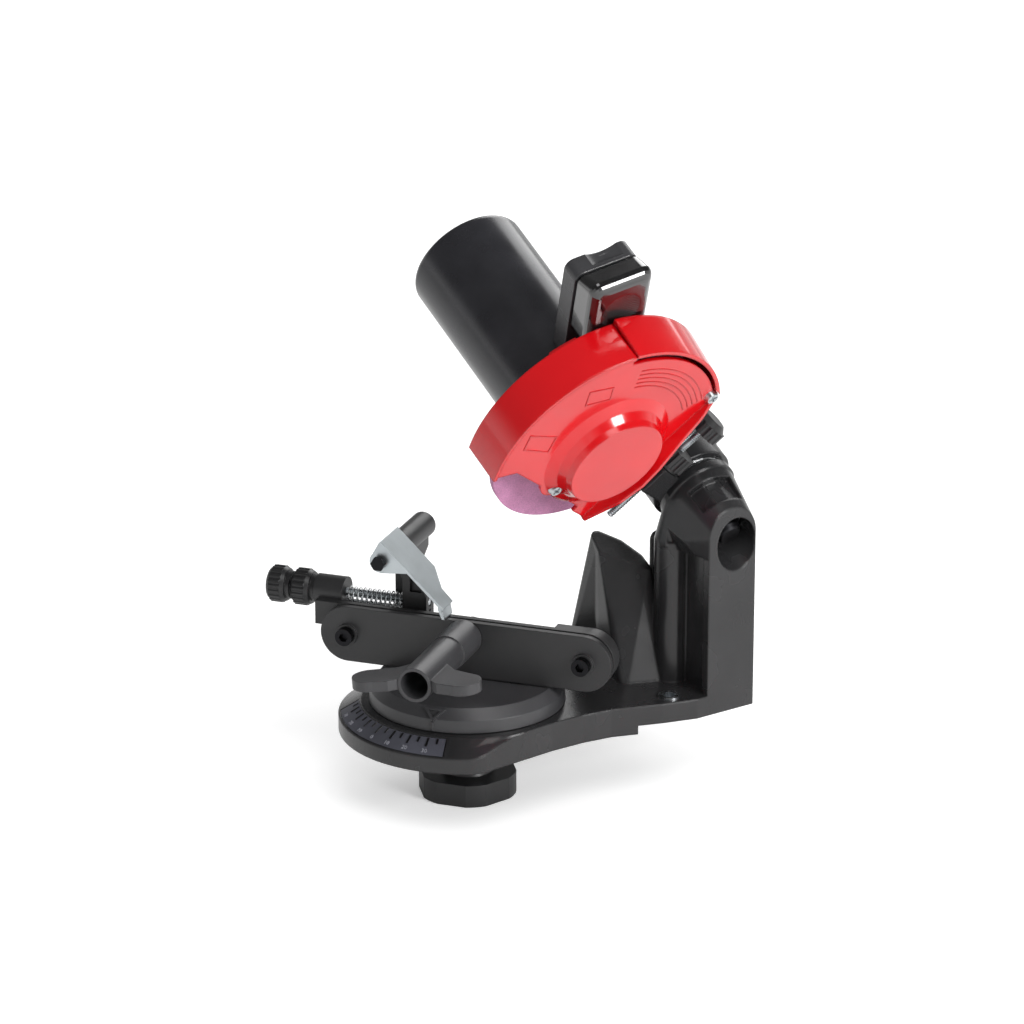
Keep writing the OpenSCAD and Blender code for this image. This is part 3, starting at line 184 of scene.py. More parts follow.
class SharpenerSizes(bpy.types.PropertyGroup):
    """Sizes of the fine pieces and of the grain in the finishes."""

    depth_pitch: bpy.props.FloatProperty(
        name="Depth screw pitch", description="Thread pitch of the depth screw", default=1.0 * MM,
        min=0.5 * MM, max=1.5 * MM, unit="LENGTH")
    stop_pitch: bpy.props.FloatProperty(
        name="Adjusting screw pitch", description="Thread pitch of the chain stop's screw",
        default=0.8 * MM, min=0.5 * MM, max=1.2 * MM, unit="LENGTH")
    thread_depth: bpy.props.FloatProperty(
        name="Thread depth", description="Depth of the threads below the crests",
        default=0.45 * MM, min=0.2 * MM, max=0.7 * MM, unit="LENGTH")
    numeral_height: bpy.props.FloatProperty(
        name="Numeral height", description="Height of the numbers on the angle scale",
        default=3.0 * MM, min=2 * MM, max=4 * MM, unit="LENGTH")
    moulding_grain: bpy.props.FloatProperty(
        name="Moulding grain", description="Spark-eroded grain of the nylon mouldings",
        default=0.7 * MM, min=0.2 * MM, max=2 * MM, unit="LENGTH")
    grit_size: bpy.props.FloatProperty(
        name="Grit", description="Size of the abrasive grains, drawn coarse enough to show",
        default=0.9 * MM, min=0.3 * MM, max=2 * MM, unit="LENGTH")
    rib_spacing: bpy.props.FloatProperty(
        name="Rib spacing", description="Spacing of the grip ribs in the paddle's dish",
        default=1.3 * MM, min=0.8 * MM, max=2 * MM, unit="LENGTH")


class SharpenerColours(bpy.types.PropertyGroup):
    """Colours of the finishes, as sRGB hex values."""

    nylon: bpy.props.StringProperty(
        name="Nylon", description="Black of the base, column and rails", default="#272728")
    knob_nylon: bpy.props.StringProperty(
        name="Knobs", description="Black of the knobs", default="#222223")
    grey_nylon: bpy.props.StringProperty(
        name="Grey nylon", description="Off-black of the turntable, wing and handle",
        default="#39393b")
    scale_strip: bpy.props.StringProperty(
        name="Scale", description="Blue-grey of the scale strip", default="#4b4c55")
    gloss_black: bpy.props.StringProperty(
        name="Paddle", description="Polished black of the switch paddle", default="#0e0e0f")
    motor_paint: bpy.props.StringProperty(
        name="Motor", description="Paint of the motor housing", default="#26262a")
    guard_red: bpy.props.StringProperty(
        name="Guard", description="Red of the guard", default="#cc040f")
    wheel_pink: bpy.props.StringProperty(
        name="Wheel", description="Pink of the vitrified wheel", default="#b97fa3")
    zinc: bpy.props.StringProperty(
        name="Zinc", description="Blue-white zinc plate", default="#c9cdd0")
    brass: bpy.props.StringProperty(
        name="Brass", description="Plain brass", default="#c9a25a")
    copper: bpy.props.StringProperty(
        name="Copper", description="Enamelled winding wire", default="#a4532c")
    floor: bpy.props.StringProperty(
        name="Floor", description="Pale studio floor", default="#fbfbfb")


def sizes():
    return bpy.context.scene.sharpener_sizes


def colours():
    return bpy.context.scene.sharpener_colours


# ---------------------------------------------------------------- materials

def linear(hex_value):
    """Linear RGBA of an sRGB hex colour."""
    parts = [int(hex_value[i:i + 2], 16) / 255 for i in (1, 3, 5)]
    return [c / 12.92 if c <= 0.04045 else ((c + 0.055) / 1.055) ** 2.4 for c in parts] + [1.0]


def shade(hex_value, factor):
    """Linear colour made lighter or darker."""
    colour = linear(hex_value)
    return [min(1.0, c * factor) for c in colour[:3]] + [1.0]


def add_node(tree, kind, settings=None, inputs=None):
    """A node with its settings made, its plain inputs set and its other inputs linked."""
    node = tree.nodes.new(kind)
    for key, value in (settings or {}).items():
        setattr(node, key, value)
    for key, value in (inputs or {}).items():
        if isinstance(value, bpy.types.NodeSocket):
            tree.links.new(value, node.inputs[key])
        else:
            node.inputs[key].default_value = value
    return node


def new_material(name, **shader):
    """A material with only its shader, and the object coordinates for its patterns."""
    material = bpy.data.materials.new(name)
    material.use_nodes = True
    tree = material.node_tree
    tree.nodes.clear()
    surface = add_node(tree, "ShaderNodeBsdfPrincipled", {}, shader)
    add_node(tree, "ShaderNodeOutputMaterial", {}, {"Surface": surface.outputs["BSDF"]})
    place = add_node(tree, "ShaderNodeTexCoord").outputs["Object"]
    return material, tree, surface, place


def noise(tree, place, size, detail=2.0, roughness=0.5):
    """Noise whose features are about size metres across."""
    return add_node(tree, "ShaderNodeTexNoise", {}, {
        "Vector": place, "Scale": 1.0 / size, "Detail": detail,
        "Roughness": roughness}).outputs["Fac"]


def vary_colour(tree, surface, factor, dark, light, low=0.3, high=0.7):
    """Drives the base colour from dark to light by a factor."""
    ramp = add_node(tree, "ShaderNodeMapRange", {}, {
        "Value": factor, "From Min": low, "From Max": high, "To Min": 0.0, "To Max": 1.0})
    mix = add_node(tree, "ShaderNodeMix", {"data_type": "RGBA"}, {
        "Factor": ramp.outputs["Result"]})
    mix.inputs[6].default_value = dark
    mix.inputs[7].default_value = light
    tree.links.new(mix.outputs[2], surface.inputs["Base Color"])


def vary_roughness(tree, surface, factor, low, high):
    ramp = add_node(tree, "ShaderNodeMapRange", {}, {
        "Value": factor, "From Min": 0.3, "From Max": 0.7, "To Min": low, "To Max": high})
    tree.links.new(ramp.outputs["Result"], surface.inputs["Roughness"])


def add_bump(tree, surface, height, depth, strength=1.0, edge=0.0):
    """Bump of depth metres, over edges softened to a radius of edge metres."""
    inputs = {"Height": height, "Distance": depth, "Strength": strength}
    if edge > 0:
        inputs["Normal"] = add_node(tree, "ShaderNodeBevel", {"samples": 4}, {
            "Radius": edge}).outputs["Normal"]
    bump = add_node(tree, "ShaderNodeBump", {}, inputs)
    tree.links.new(bump.outputs["Normal"], surface.inputs["Normal"])


def moulded_nylon(name, colour, roughness, edge):
    """Glass-filled nylon, moulded in a spark-eroded tool: satin, with a fine even grain and
    soft edges that catch the light."""
    material, tree, surface, place = new_material(name, **{"IOR": 1.53})
    cloud = noise(tree, place, 28 * MM, 3.0)
    grain = noise(tree, place, sizes().moulding_grain, 2.0, 0.6)
    vary_colour(tree, surface, cloud, shade(colour, 0.86), shade(colour, 1.14))
    vary_roughness(tree, surface, cloud, roughness - 0.04, roughness + 0.05)
    add_bump(tree, surface, grain, 0.05 * MM, 0.5, edge)
    return material


def polished_black(name, colour):
    """Black ABS from a polished tool: a mirror gloss that shows the guard's red."""
    material, tree, surface, place = new_material(name, **{
        "IOR": 1.54, "Coat Weight": 1.0, "Coat Roughness": 0.03, "Coat IOR": 1.6})
    cloud = noise(tree, place, 12 * MM, 2.0)
    vary_colour(tree, surface, cloud, shade(colour, 0.8), shade(colour, 1.2))
    vary_roughness(tree, surface, cloud, 0.10, 0.16)
    # Ribs run across the paddle, in the dish only
    to_grip = GRIP.inverted()
    turned = add_node(tree, "ShaderNodeMapping", {"vector_type": "POINT"}, {
        "Vector": place, "Location": to_grip.to_translation(), "Rotation": to_grip.to_euler()})
    split = add_node(tree, "ShaderNodeSeparateXYZ", {}, {"Vector": turned.outputs["Vector"]})
    along = split.outputs["Y"]
    across = split.outputs["Z"]
    wave = add_node(tree, "ShaderNodeMath", {"operation": "SINE"}, {0: add_node(
        tree, "ShaderNodeMath", {"operation": "MULTIPLY"},
        {0: along, 1: 2 * math.pi / sizes().rib_spacing}).outputs[0]}).outputs[0]
    from_middle = add_node(tree, "ShaderNodeMath", {"operation": "SUBTRACT"}, {
        0: along, 1: DISH_MIDDLE}).outputs[0]
    square_1 = add_node(tree, "ShaderNodeMath", {"operation": "MULTIPLY"}, {
        0: from_middle, 1: from_middle}).outputs[0]
    square_2 = add_node(tree, "ShaderNodeMath", {"operation": "MULTIPLY"}, {
        0: across, 1: across}).outputs[0]
    reach = add_node(tree, "ShaderNodeMath", {"operation": "ADD"}, {
        0: square_1, 1: square_2}).outputs[0]
    inside = add_node(tree, "ShaderNodeMath", {"operation": "LESS_THAN"}, {
        0: reach, 1: DISH_RADIUS ** 2}).outputs[0]
    ribs = add_node(tree, "ShaderNodeMath", {"operation": "MULTIPLY"}, {
        0: wave, 1: inside}).outputs[0]
    add_bump(tree, surface, ribs, 0.16 * MM, 1.0, 0.5 * MM)
    return material


def painted_tube(name, colour):
    """Drawn steel tube in baked black paint: smooth gloss with a faint orange peel."""
    material, tree, surface, place = new_material(name, **{
        "IOR": 1.5, "Coat Weight": 0.25, "Coat Roughness": 0.2})
    cloud = noise(tree, place, 22 * MM, 3.0)
    peel = noise(tree, place, 1.6 * MM, 1.0)
    vary_colour(tree, surface, cloud, shade(colour, 0.85), shade(colour, 1.25))
    vary_roughness(tree, surface, cloud, 0.20, 0.28)
    add_bump(tree, surface, peel, 0.008 * MM, 0.3, 0.6 * MM)
    return material


def gloss_red(name, colour):
    """Red ABS from a polished tool: strong clean colour under a clear gloss."""
    material, tree, surface, place = new_material(name, **{
        "IOR": 1.54, "Coat Weight": 0.45, "Coat Roughness": 0.06, "Coat IOR": 1.6})
    cloud = noise(tree, place, 35 * MM, 2.0)
    ripple = noise(tree, place, 6 * MM, 1.0)
    vary_colour(tree, surface, cloud, shade(colour, 0.92), shade(colour, 1.06))
    vary_roughness(tree, surface, cloud, 0.16, 0.22)
    add_bump(tree, surface, ripple, 0.03 * MM, 0.25, 1.4 * MM)
    return material


def vitrified_wheel(name, colour):
    """Aluminium oxide grains fired in a glassy bond: matt, open and speckled, drawn coarse."""
    material, tree, surface, place = new_material(name, **{"IOR": 1.6})
    grit = add_node(tree, "ShaderNodeTexVoronoi", {"feature": "F1"}, {
        "Vector": place, "Scale": 1.0 / sizes().grit_size})
    speck = noise(tree, place, 0.8 * MM, 3.0, 0.7)
    cloud = noise(tree, place, 9 * MM, 2.0)
    both = add_node(tree, "ShaderNodeMath", {"operation": "ADD"}, {
        0: add_node(tree, "ShaderNodeMath", {"operation": "MULTIPLY"}, {
            0: speck, 1: 0.75}).outputs[0],
        1: add_node(tree, "ShaderNodeMath", {"operation": "MULTIPLY"}, {
            0: cloud, 1: 0.25}).outputs[0],
    }).outputs[0]
    vary_colour(tree, surface, both, shade(colour, 0.72), shade(colour, 1.18), 0.35, 0.65)
    vary_roughness(tree, surface, speck, 0.85, 0.98)
    add_bump(tree, surface, grit.outputs["Distance"], 0.25 * MM, 0.6, 0.5 * MM)
    return material


def plated_steel(name, colour, roughness, grain):
    """Zinc-plated steel: bright, a little milky, with fine marks from tumbling."""
    material, tree, surface, place = new_material(name, **{"Metallic": 1.0})
    cloud = noise(tree, place, grain, 4.0, 0.6)
    marks = noise(tree, place, 0.5 * MM, 2.0)
    vary_colour(tree, surface, cloud, shade(colour, 0.82), shade(colour, 1.08))
    vary_roughness(tree, surface, cloud, roughness - 0.06, roughness + 0.10)
    add_bump(tree, surface, marks, 0.01 * MM, 0.5)
    return material


def zinc_sheet(name, colour):
    """Cold-rolled sheet in blue-white zinc: smooth, with soft spangle and a satin sheen."""
    material, tree, surface, place = new_material(name, **{"Metallic": 1.0})
    spangle = add_node(tree, "ShaderNodeTexVoronoi", {"feature": "SMOOTH_F1"}, {
        "Vector": place, "Scale": 1.0 / (5 * MM), "Smoothness": 0.8})
    cloud = noise(tree, place, 14 * MM, 3.0)
    vary_colour(tree, surface, cloud, shade(colour, 0.90), shade(colour, 1.05))
    vary_roughness(tree, surface, spangle.outputs["Distance"], 0.30, 0.40)
    add_bump(tree, surface, noise(tree, place, 0.6 * MM), 0.008 * MM, 0.4, 0.35 * MM)
    return material


def turned_metal(name, colour, roughness, spread):
    """Plain turned or drawn metal, with slight tarnish in patches."""
    material, tree, surface, place = new_material(name, **{"Metallic": 1.0})
    patch = noise(tree, place, spread, 4.0, 0.55)
    vary_colour(tree, surface, patch, shade(colour, 0.62), shade(colour, 1.1))
    vary_roughness(tree, surface, patch, roughness, roughness + 0.16)
    add_bump(tree, surface, noise(tree, place, 0.4 * MM), 0.01 * MM, 0.4)
    return material


def dull_solid(name, colour, roughness, grain, depth):
    """Hard inner pieces: ferrite, phenolic and natural nylon, dull with an even grain."""
    material, tree, surface, place = new_material(name, **{"IOR": 1.5})
    cloud = noise(tree, place, 8 * MM, 3.0)
    vary_colour(tree, surface, cloud, shade(colour, 0.8), shade(colour, 1.2))
    vary_roughness(tree, surface, cloud, roughness - 0.06, roughness + 0.06)
    add_bump(tree, surface, noise(tree, place, grain), depth, 0.6)
    return material


def studio_floor(name, colour):
    """Matt white paper roll: nearly even, with a faint tooth."""
    material, tree, surface, place = new_material(name, **{"IOR": 1.4, "Specular IOR Level": 0.1})
    cloud = noise(tree, place, 300 * MM, 2.0)
    vary_colour(tree, surface, cloud, shade(colour, 0.995), shade(colour, 1.0))
    vary_roughness(tree, surface, cloud, 0.9, 0.95)
    add_bump(tree, surface, noise(tree, place, 2 * MM), 0.02 * MM, 0.2)
    # The camera sees the paper a little over-lit, which leaves a faint shadow
    path = add_node(tree, "ShaderNodeLightPath")
    lift = add_node(tree, "ShaderNodeMath", {"operation": "MULTIPLY"}, {
        0: path.outputs["Is Camera Ray"], 1: FLOOR_LIFT})
    surface.inputs["Emission Color"].default_value = linear(colour)
    tree.links.new(lift.outputs[0], surface.inputs["Emission Strength"])
    return material


def make_finishes():
    """Every finish, under the name of the record's slot that it belongs to."""
    c = colours()
    return {
        "black_casting": moulded_nylon("moulded glass-filled nylon", c.nylon, 0.25, 1.6 * MM),
        "satin_nylon": moulded_nylon("satin glass-filled nylon", c.nylon, 0.42, 0.6 * MM),
        "black_part": moulded_nylon("moulded knob nylon", c.knob_nylon, 0.36, 0.5 * MM),
        "grey_nylon": moulded_nylon("worn grey nylon", c.grey_nylon, 0.40, 0.6 * MM),
        "shell_black": moulded_nylon("semi-gloss handle nylon", c.grey_nylon, 0.24, 0.9 * MM),
        "scale_black": moulded_nylon("satin scale strip", c.scale_strip, 0.42, 0.15 * MM),
        "number_grey": dull_solid("pad-printed grey", "#8f9098", 0.5, 0.5 * MM, 0.01 * MM),
        # Painted shade: the scale marks are near-black to stand in for the shadows of raised ticks
        "tick_black": dull_solid("near-black painted shade of marks", "#060607", 0.3, 0.5 * MM, 0.01 * MM),
        "motor_black": painted_tube("baked black paint", c.motor_paint),
        "guard_red": gloss_red("gloss red ABS", c.guard_red),
        "gloss_black": polished_black("polished black ABS", c.gloss_black),
        "bright_steel": plated_steel("zinc-plated steel", c.zinc, 0.26, 4 * MM),
        "spring_wire": plated_steel("polished spring wire", "#f2f4f5", 0.20, 2 * MM),
        "black_steel": plated_steel("blackened steel", "#2a2a2c", 0.38, 3 * MM),
        "zinc_sheet": zinc_sheet("blue-white zinc sheet", "#c3cacd"),
        "brass_part": turned_metal("plain brass", c.brass, 0.22, 5 * MM),
        "copper_part": turned_metal("enamelled copper", c.copper, 0.3, 2.5 * MM),
        "magnet_grey": dull_solid("sintered ferrite", "#3a3b3f", 0.7, 0.6 * MM, 0.03 * MM),
        "brush_plastic": dull_solid("brown phenolic", "#5a4530", 0.45, 0.8 * MM, 0.02 * MM),
        "fan_plastic": dull_solid("natural nylon", "#d9d5c8", 0.4, 1.0 * MM, 0.02 * MM),
        "wheel_pink": vitrified_wheel("pink vitrified abrasive", c.wheel_pink),
    }


FINISHES = {}

# Nodes whose finish isn't that of their slot
OTHER_FINISH = {
    "rear_rail": "satin_nylon",
    "front_rail": "satin_nylon",
    "stop_housing": "satin_nylon",
    "stop_carriage": "satin_nylon",
    "turntable": "grey_nylon",
    "wing_screw": "grey_nylon",
    "handle_back": "shell_black",
    "handle_front": "shell_black",
    "stop_spring": "spring_wire",
    "guide_rod": "spring_wire",
    "head_spring": "spring_wire",
    "switch_paddle": "gloss_black",
}


def give_finish(piece, slot):
    """One finish on a whole piece."""
    piece.data.materials.clear()
    piece.data.materials.append(FINISHES[slot])


# ---------------------------------------------------------------- modelling helpers

def deselect_all():
    if bpy.context.object and bpy.context.object.mode != "OBJECT":
        bpy.ops.object.mode_set(mode="OBJECT")
    bpy.ops.object.select_all(action="DESELECT")


def make_active(piece):
    deselect_all()
    piece.select_set(True)
    bpy.context.view_layer.objects.active = piece


def apply_modifiers(piece):
    make_active(piece)
    for modifier in list(piece.modifiers):
        bpy.ops.object.modifier_apply(modifier=modifier.name)


def settle(piece, place):
    """Moves a finished piece to its place and leaves its object at the origin."""
    piece.matrix_world = place
    make_active(piece)
    bpy.ops.object.transform_apply(location=True, rotation=True, scale=True)


def outward(piece):
    """Merges doubles and turns every face outward."""
    make_active(piece)
    bpy.ops.object.mode_set(mode="EDIT")
    bpy.ops.mesh.select_all(action="SELECT")
    bpy.ops.mesh.remove_doubles(threshold=0.002 * MM)
    bpy.ops.mesh.normals_make_consistent(inside=False)
    bpy.ops.object.mode_set(mode="OBJECT")


def join(pieces, name):
    make_active(pieces[0])
    for piece in pieces:
        piece.select_set(True)
    bpy.ops.object.join()
    pieces[0].name = name
    pieces[0].data.name = name
    return pieces[0]


def extent(node, place):
    """Lowest and highest corner of a CAD node in another frame."""
    turn = place.inverted()
    points = [turn @ v.co for v in frame["nodes"][node].data.vertices]
    low = Vector([min(p[i] for p in points) for i in range(3)])
    high = Vector([max(p[i] for p in points) for i in range(3)])
    return low, high


def on_rim(around, along):
    """Place on the sloping rim of the base, around degrees from the front and along it outward."""
    slope = math.atan2(RIM_DROP, RIM_WIDTH)
    return (DECK @ Matrix.Rotation(math.radians(around), 4, "Z")
            @ Matrix.Translation((0, -RIM_INNER - along, -along * math.tan(slope)))
            @ Matrix.Rotation(slope, 4, "X"))


def screw_body(name, length, radius, pitch, depth):
    """A threaded rod along Z from 0 to length: a core with one helical ridge on it."""
    deselect_all()
    core_r = radius - depth
    bpy.ops.mesh.primitive_cylinder_add(
        vertices=40, radius=core_r, depth=length, location=(0, 0, length / 2))
    core = bpy.context.object
    settle(core, core.matrix_world.copy())
    # Chamfered ends
    bpy.ops.object.mode_set(mode="EDIT")
    bpy.ops.mesh.select_all(action="SELECT")
    bpy.ops.mesh.bisect(plane_co=(0, 0, length - depth), plane_no=(0, 0, 1))
    bpy.ops.mesh.select_all(action="SELECT")
    bpy.ops.mesh.bisect(plane_co=(0, 0, depth), plane_no=(0, 0, 1))
    bpy.ops.object.mode_set(mode="OBJECT")
    for v in core.data.vertices:
        if v.co.z > length - 0.01 * MM or v.co.z < 0.01 * MM:
            v.co.x *= 1 - depth / core_r
            v.co.y *= 1 - depth / core_r
    # Ridge: a triangle that the screw modifier winds round the core
    deselect_all()
    bpy.ops.mesh.primitive_circle_add(vertices=3, radius=1, fill_type="NGON")
    ridge = bpy.context.object
    foot_r = core_r - THREAD_SINK
    corners = ((radius, 0), (foot_r, THREAD_FOOT), (foot_r, -THREAD_FOOT))
    for v, corner in zip(ridge.data.vertices, corners):
        v.co = Vector((corner[0], 0, depth + pitch * (corner[1] + 0.5)))
    turns = int((length - 2 * depth) / pitch) - 1
    winding = ridge.modifiers.new("winding", "SCREW")
    winding.angle = 2 * math.pi
    winding.screw_offset = pitch
    winding.iterations = turns
    winding.steps = THREAD_STEPS
    winding.render_steps = THREAD_STEPS
    winding.axis = "Z"
    apply_modifiers(ridge)
    outward(ridge)
    rod = join([core, ridge], name)
    make_active(rod)
    bpy.ops.object.shade_smooth_by_angle(angle=math.radians(40))
    return rod


# ---------------------------------------------------------------- pieces

class SHARPENER_OT_finishes(bpy.types.Operator):
    """Make every finish and put it on the pieces of the frame"""

    bl_idname = "sharpener.finishes"
    bl_label = "Finishes"

    def execute(self, context):
        FINISHES.update(make_finishes())
        for part in frame["record"]["subparts"]:
            piece = frame["nodes"][part["node"]]
            give_finish(piece, OTHER_FINISH.get(part["node"], part["material_slot"]))
        return {"FINISHED"}


class SHARPENER_OT_depth_thread(bpy.types.Operator):
    """Model the depth screw with its real thread"""

    bl_idname = "sharpener.depth_thread"
    bl_label = "Depth screw"

    def execute(self, context):
        axis = joint_axis("depth_knob_turn") * -1
        place = basis(joint_point("depth_knob_turn"), SPINDLE_AXIS, axis.cross(SPINDLE_AXIS))
        low, high = extent("depth_screw", place)
        rod = screw_body("depth_screw_thread", high.z - low.z, (high.x - low.x) / 2,
                         sizes().depth_pitch, sizes().thread_depth)
        settle(rod, place @ Matrix.Translation((0, 0, low.z)))
        give_finish(rod, "bright_steel")
        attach(rod, "depth_screw")
        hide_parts("depth_screw")
        return {"FINISHED"}


class SHARPENER_OT_stop_thread(bpy.types.Operator):
    """Model the chain stop's adjusting screw with its real thread"""

    bl_idname = "sharpener.stop_thread"
    bl_label = "Adjusting screw"

    def execute(self, context):
        axis = joint_axis("stop_adjust_turn")
        up = Vector((0, 0, 1))
        place = basis(joint_point("stop_adjust_turn"), axis.cross(up), up)
        low, high = extent("stop_screw", place)
        rod = screw_body("stop_screw_thread", high.z - low.z, (high.x - low.x) / 2,
                         sizes().stop_pitch, sizes().thread_depth * STOP_THREAD_SHARE)
        settle(rod, place @ Matrix.Translation((0, 0, low.z)))
        give_finish(rod, "bright_steel")
        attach(rod, "stop_adjuster")
        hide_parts("stop_screw")
        return {"FINISHED"}


class SHARPENER_OT_scale_numerals(bpy.types.Operator):
    """Raise the degree numbers on the angle scale"""

    bl_idname = "sharpener.scale_numerals"
    bl_label = "Scale numbers"

    def execute(self, context):
        numerals = []
        for step in range(-3, 4):
            deselect_all()
            bpy.ops.object.text_add()
            text = bpy.context.object
            text.data.body = str(abs(step) * NUMERAL_DEGREES)
            text.data.size = sizes().numeral_height
            text.data.align_x = "CENTER"
            text.data.align_y = "CENTER"
            text.data.extrude = NUMERAL_RAISE
            text.data.resolution_u = 3
            bpy.ops.object.convert(target="MESH")
            numeral = bpy.context.object
            settle(numeral, on_rim(SCALE_ZERO + NUMERAL_DEGREES * step, NUMERAL_START))
            numerals.append(numeral)
        numbers = join(numerals, "scale_numbers")
        give_finish(numbers, "number_grey")
        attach(numbers, "base")
        return {"FINISHED"}


class SHARPENER_OT_scale_marks(bpy.types.Operator):
    """Lay near-black marks on the angle scale, longer at every ten degrees; their black is painted shade that
    stands in for the shadows of raised ticks
    """

    bl_idname = "sharpener.scale_marks"
    bl_label = "Scale marks"

    def execute(self, context):
        long_mark = self.mark(LONG_MARK)
        short_mark = self.mark(SHORT_MARK)
        marks = []
        for step in range(-7, 8):
            pattern = long_mark if step % 2 == 0 else short_mark
            mark = pattern.copy()
            mark.data = pattern.data.copy()
            context.scene.collection.objects.link(mark)
            settle(mark, on_rim(SCALE_ZERO + MARK_DEGREES * step, MARK_START))
            marks.append(mark)
        for pattern in (long_mark, short_mark):
            bpy.data.objects.remove(pattern)
        # The marks' near-black is painted shade for the shadows of raised ticks
        shade_painted_marks = join(marks, "scale_marks")
        give_finish(shade_painted_marks, "tick_black")
        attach(shade_painted_marks, "base")
        return {"FINISHED"}

    def mark(self, length):
        """One mark that runs outward from its inner end, with its edges rounded."""
        deselect_all()
        bpy.ops.mesh.primitive_cube_add(size=1)
        piece = bpy.context.object
        settle(piece, Matrix.Translation((0, -length / 2, MARK_MIDDLE))
               @ Matrix.Diagonal((MARK_WIDTH, length, MARK_HEIGHT, 1)))
        bpy.ops.object.mode_set(mode="EDIT")
        bpy.ops.mesh.select_all(action="SELECT")
        bpy.ops.mesh.bevel(offset=MARK_EDGE, segments=2)
        bpy.ops.object.mode_set(mode="OBJECT")
        return piece


class SHARPENER_OT_cover_relief(bpy.types.Operator):
    """Raise plain arcs and two plain frames on the guard's cover"""

    bl_idname = "sharpener.cover_relief"
    bl_label = "Cover relief"

    def execute(self, context):
        cover_face = extent("guard_screws", SPINDLE)[1].x - SCREW_HEAD
        raised = [self.arc(BEAD_INNER + BEAD_SPACING * row, BEAD_FROM, BEAD_TO, cover_face)
                  for row in range(BEAD_ROWS)]
        raised += [self.frame(corners, cover_face) for corners in (LOWER_FRAME, UPPER_FRAME)]
        relief = join(raised, "cover_relief")
        give_finish(relief, "guard_red")
        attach(relief, "head")
        return {"FINISHED"}

    def frame(self, corners, face):
        """One raised border with four corners."""
        deselect_all()
        bpy.ops.mesh.primitive_circle_add(vertices=4, radius=1, fill_type="NGON")
        piece = bpy.context.object
        for v, corner in zip(piece.data.vertices, corners):
            v.co = Vector((0, corner[0] * MM, corner[1] * MM))
        make_active(piece)
        bpy.ops.object.mode_set(mode="EDIT")
        bpy.ops.mesh.select_all(action="SELECT")
        bpy.ops.mesh.inset(thickness=FRAME_BORDER)
        bpy.ops.mesh.delete(type="FACE")
        bpy.ops.mesh.select_all(action="SELECT")
        bpy.ops.mesh.extrude_region_move(TRANSFORM_OT_translate={"value": (FRAME_HEIGHT, 0, 0)})
        bpy.ops.object.mode_set(mode="OBJECT")
        outward(piece)
        settle(piece, SPINDLE @ Matrix.Translation((face - FRAME_SINK, 0, 0)))
        return piece

    def arc(self, radius, start, end, face):
        """One raised bead, an arc around the spindle."""
        deselect_all()
        bpy.ops.mesh.primitive_circle_add(vertices=8, radius=BEAD_RADIUS, fill_type="NGON")
        piece = bpy.context.object
        for v in piece.data.vertices:
            v.co = Vector((v.co.x, v.co.y + radius, 0))
        make_active(piece)
        bpy.ops.object.mode_set(mode="EDIT")
        bpy.ops.mesh.select_all(action="SELECT")
        bpy.ops.mesh.spin(steps=40, angle=start - end, center=(0, 0, 0), axis=(1, 0, 0),
                          use_auto_merge=False)
        bpy.ops.object.mode_set(mode="OBJECT")
        outward(piece)
        settle(piece, SPINDLE @ Matrix.Translation((face, 0, 0)) @ Matrix.Rotation(start, 4, "X"))
        make_active(piece)
        bpy.ops.object.shade_smooth_by_angle(angle=math.radians(50))
        return piece


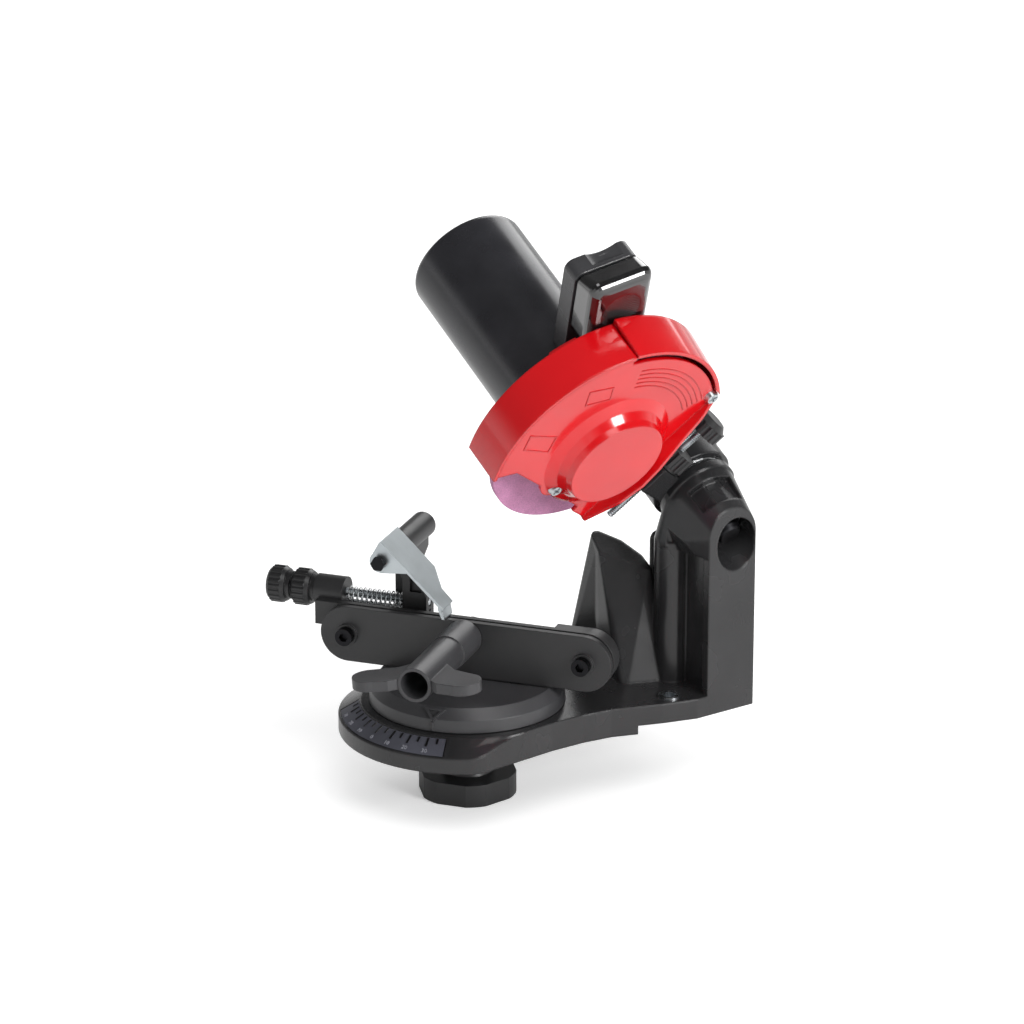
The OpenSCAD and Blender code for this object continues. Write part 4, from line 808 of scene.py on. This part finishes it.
class SHARPENER_OT_stage(bpy.types.Operator):
    """Lay the pale floor, hang the soft lamps and place the camera"""

    bl_idname = "sharpener.stage"
    bl_label = "Stage"

    def execute(self, context):
        self.floor()
        self.light()
        self.camera()
        return {"FINISHED"}

    def floor(self):
        deselect_all()
        low = Vector(CAD_BOX[0])
        bpy.ops.mesh.primitive_plane_add(size=1, location=(0, 0, 0))
        floor = bpy.context.object
        floor.name = "studio_floor"
        place = Matrix.Translation((0, 0, low.z - FLOOR_GAP)) @ Matrix.Scale(FLOOR_SIZE, 4)
        settle(floor, place)
        floor.data.materials.append(studio_floor("white paper roll", colours().floor))

    def light(self):
        world = bpy.data.worlds.new("studio")
        bpy.context.scene.world = world
        world.use_nodes = True
        tree = world.node_tree
        tree.nodes.clear()
        path = add_node(tree, "ShaderNodeLightPath")
        # Gloss meets a white sweep up to the horizon, under a dark ceiling
        rise = add_node(tree, "ShaderNodeSeparateXYZ", {}, {
            "Vector": add_node(tree, "ShaderNodeTexCoord").outputs["Generated"]}).outputs["Z"]
        sweep = add_node(tree, "ShaderNodeMapRange", {"interpolation_type": "SMOOTHSTEP"}, {
            "Value": rise, "From Min": -0.05, "From Max": 0.28, "To Min": 1.0, "To Max": 0.12})
        # Light that falls from the sky is even, and the camera sees the backdrop at plain white
        bent = add_node(tree, "ShaderNodeMix", {"data_type": "FLOAT"}, {
            0: path.outputs["Is Glossy Ray"], 2: SKY_LEVEL, 3: sweep.outputs["Result"]})
        seen = add_node(tree, "ShaderNodeMath", {"operation": "MAXIMUM"}, {
            0: path.outputs["Is Camera Ray"], 1: path.outputs["Is Transmission Ray"]})
        level = add_node(tree, "ShaderNodeMath", {"operation": "MAXIMUM"}, {
            0: seen.outputs[0], 1: bent.outputs[0]})
        sky = add_node(tree, "ShaderNodeBackground", {}, {
            "Color": linear("#ffffff"), "Strength": level.outputs[0]})
        add_node(tree, "ShaderNodeOutputWorld", {}, {"Surface": sky.outputs[0]})
        for lamp in LAMPS:
            self.lamp(*lamp)

    def lamp(self, name, azimuth, elevation, distance, size, power):
        """A square soft panel, placed by its direction from the lamps' target."""
        data = bpy.data.lights.new(name, "AREA")
        data.shape = "SQUARE"
        data.size = size
        data.energy = power
        lamp = bpy.data.objects.new(name, data)
        bpy.context.scene.collection.objects.link(lamp)
        flat = math.cos(math.radians(elevation))
        towards = Vector((
            flat * math.cos(math.radians(azimuth)),
            flat * math.sin(math.radians(azimuth)),
            math.sin(math.radians(elevation))))
        lamp.location = LAMP_TARGET + towards * distance
        lamp.rotation_euler = towards.to_track_quat("Z", "Y").to_euler()

    def camera(self):
        data = bpy.data.cameras.new("camera")
        data.lens = CAMERA_LENS
        data.sensor_width = CAMERA_SENSOR
        data.sensor_height = CAMERA_SENSOR
        data.sensor_fit = "HORIZONTAL"
        data.clip_start = 0.05
        camera = bpy.data.objects.new("camera", data)
        bpy.context.scene.collection.objects.link(camera)
        camera.location = CAMERA_AT
        camera.rotation_euler = (CAMERA_TARGET - CAMERA_AT).to_track_quat("-Z", "Y").to_euler()
        bpy.context.scene.camera = camera
        bpy.context.scene.view_settings.view_transform = "Standard"


class SHARPENER_PT_panel(bpy.types.Panel):
    """Lists the sizes, the colours and the pieces of the sharpener"""

    bl_idname = "SHARPENER_PT_panel"
    bl_label = "Chain sharpener"
    bl_space_type = "VIEW_3D"
    bl_region_type = "UI"
    bl_category = "Sharpener"

    def draw(self, context):
        for group in (context.scene.sharpener_sizes, context.scene.sharpener_colours):
            box = self.layout.box()
            for name in group.__annotations__:
                box.prop(group, name)
        for operator in PIECES:
            self.layout.operator(operator.bl_idname)


PIECES = (
    SHARPENER_OT_finishes,
    SHARPENER_OT_depth_thread,
    SHARPENER_OT_stop_thread,
    SHARPENER_OT_scale_marks,
    SHARPENER_OT_scale_numerals,
    SHARPENER_OT_cover_relief,
    SHARPENER_OT_stage,
)
CLASSES = (SharpenerSizes, SharpenerColours) + PIECES + (SHARPENER_PT_panel,)


def register():
    for item in CLASSES:
        bpy.utils.register_class(item)
    bpy.types.Scene.sharpener_sizes = bpy.props.PointerProperty(type=SharpenerSizes)
    bpy.types.Scene.sharpener_colours = bpy.props.PointerProperty(type=SharpenerColours)


def unregister():
    del bpy.types.Scene.sharpener_colours
    del bpy.types.Scene.sharpener_sizes
    for item in reversed(CLASSES):
        bpy.utils.unregister_class(item)


def main():
    """Registers the add-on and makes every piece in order."""
    register()
    deselect_all()
    for operator in PIECES:
        group, name = operator.bl_idname.split(".")
        getattr(getattr(bpy.ops, group), name)()


if __name__ == "__main__":
    main()
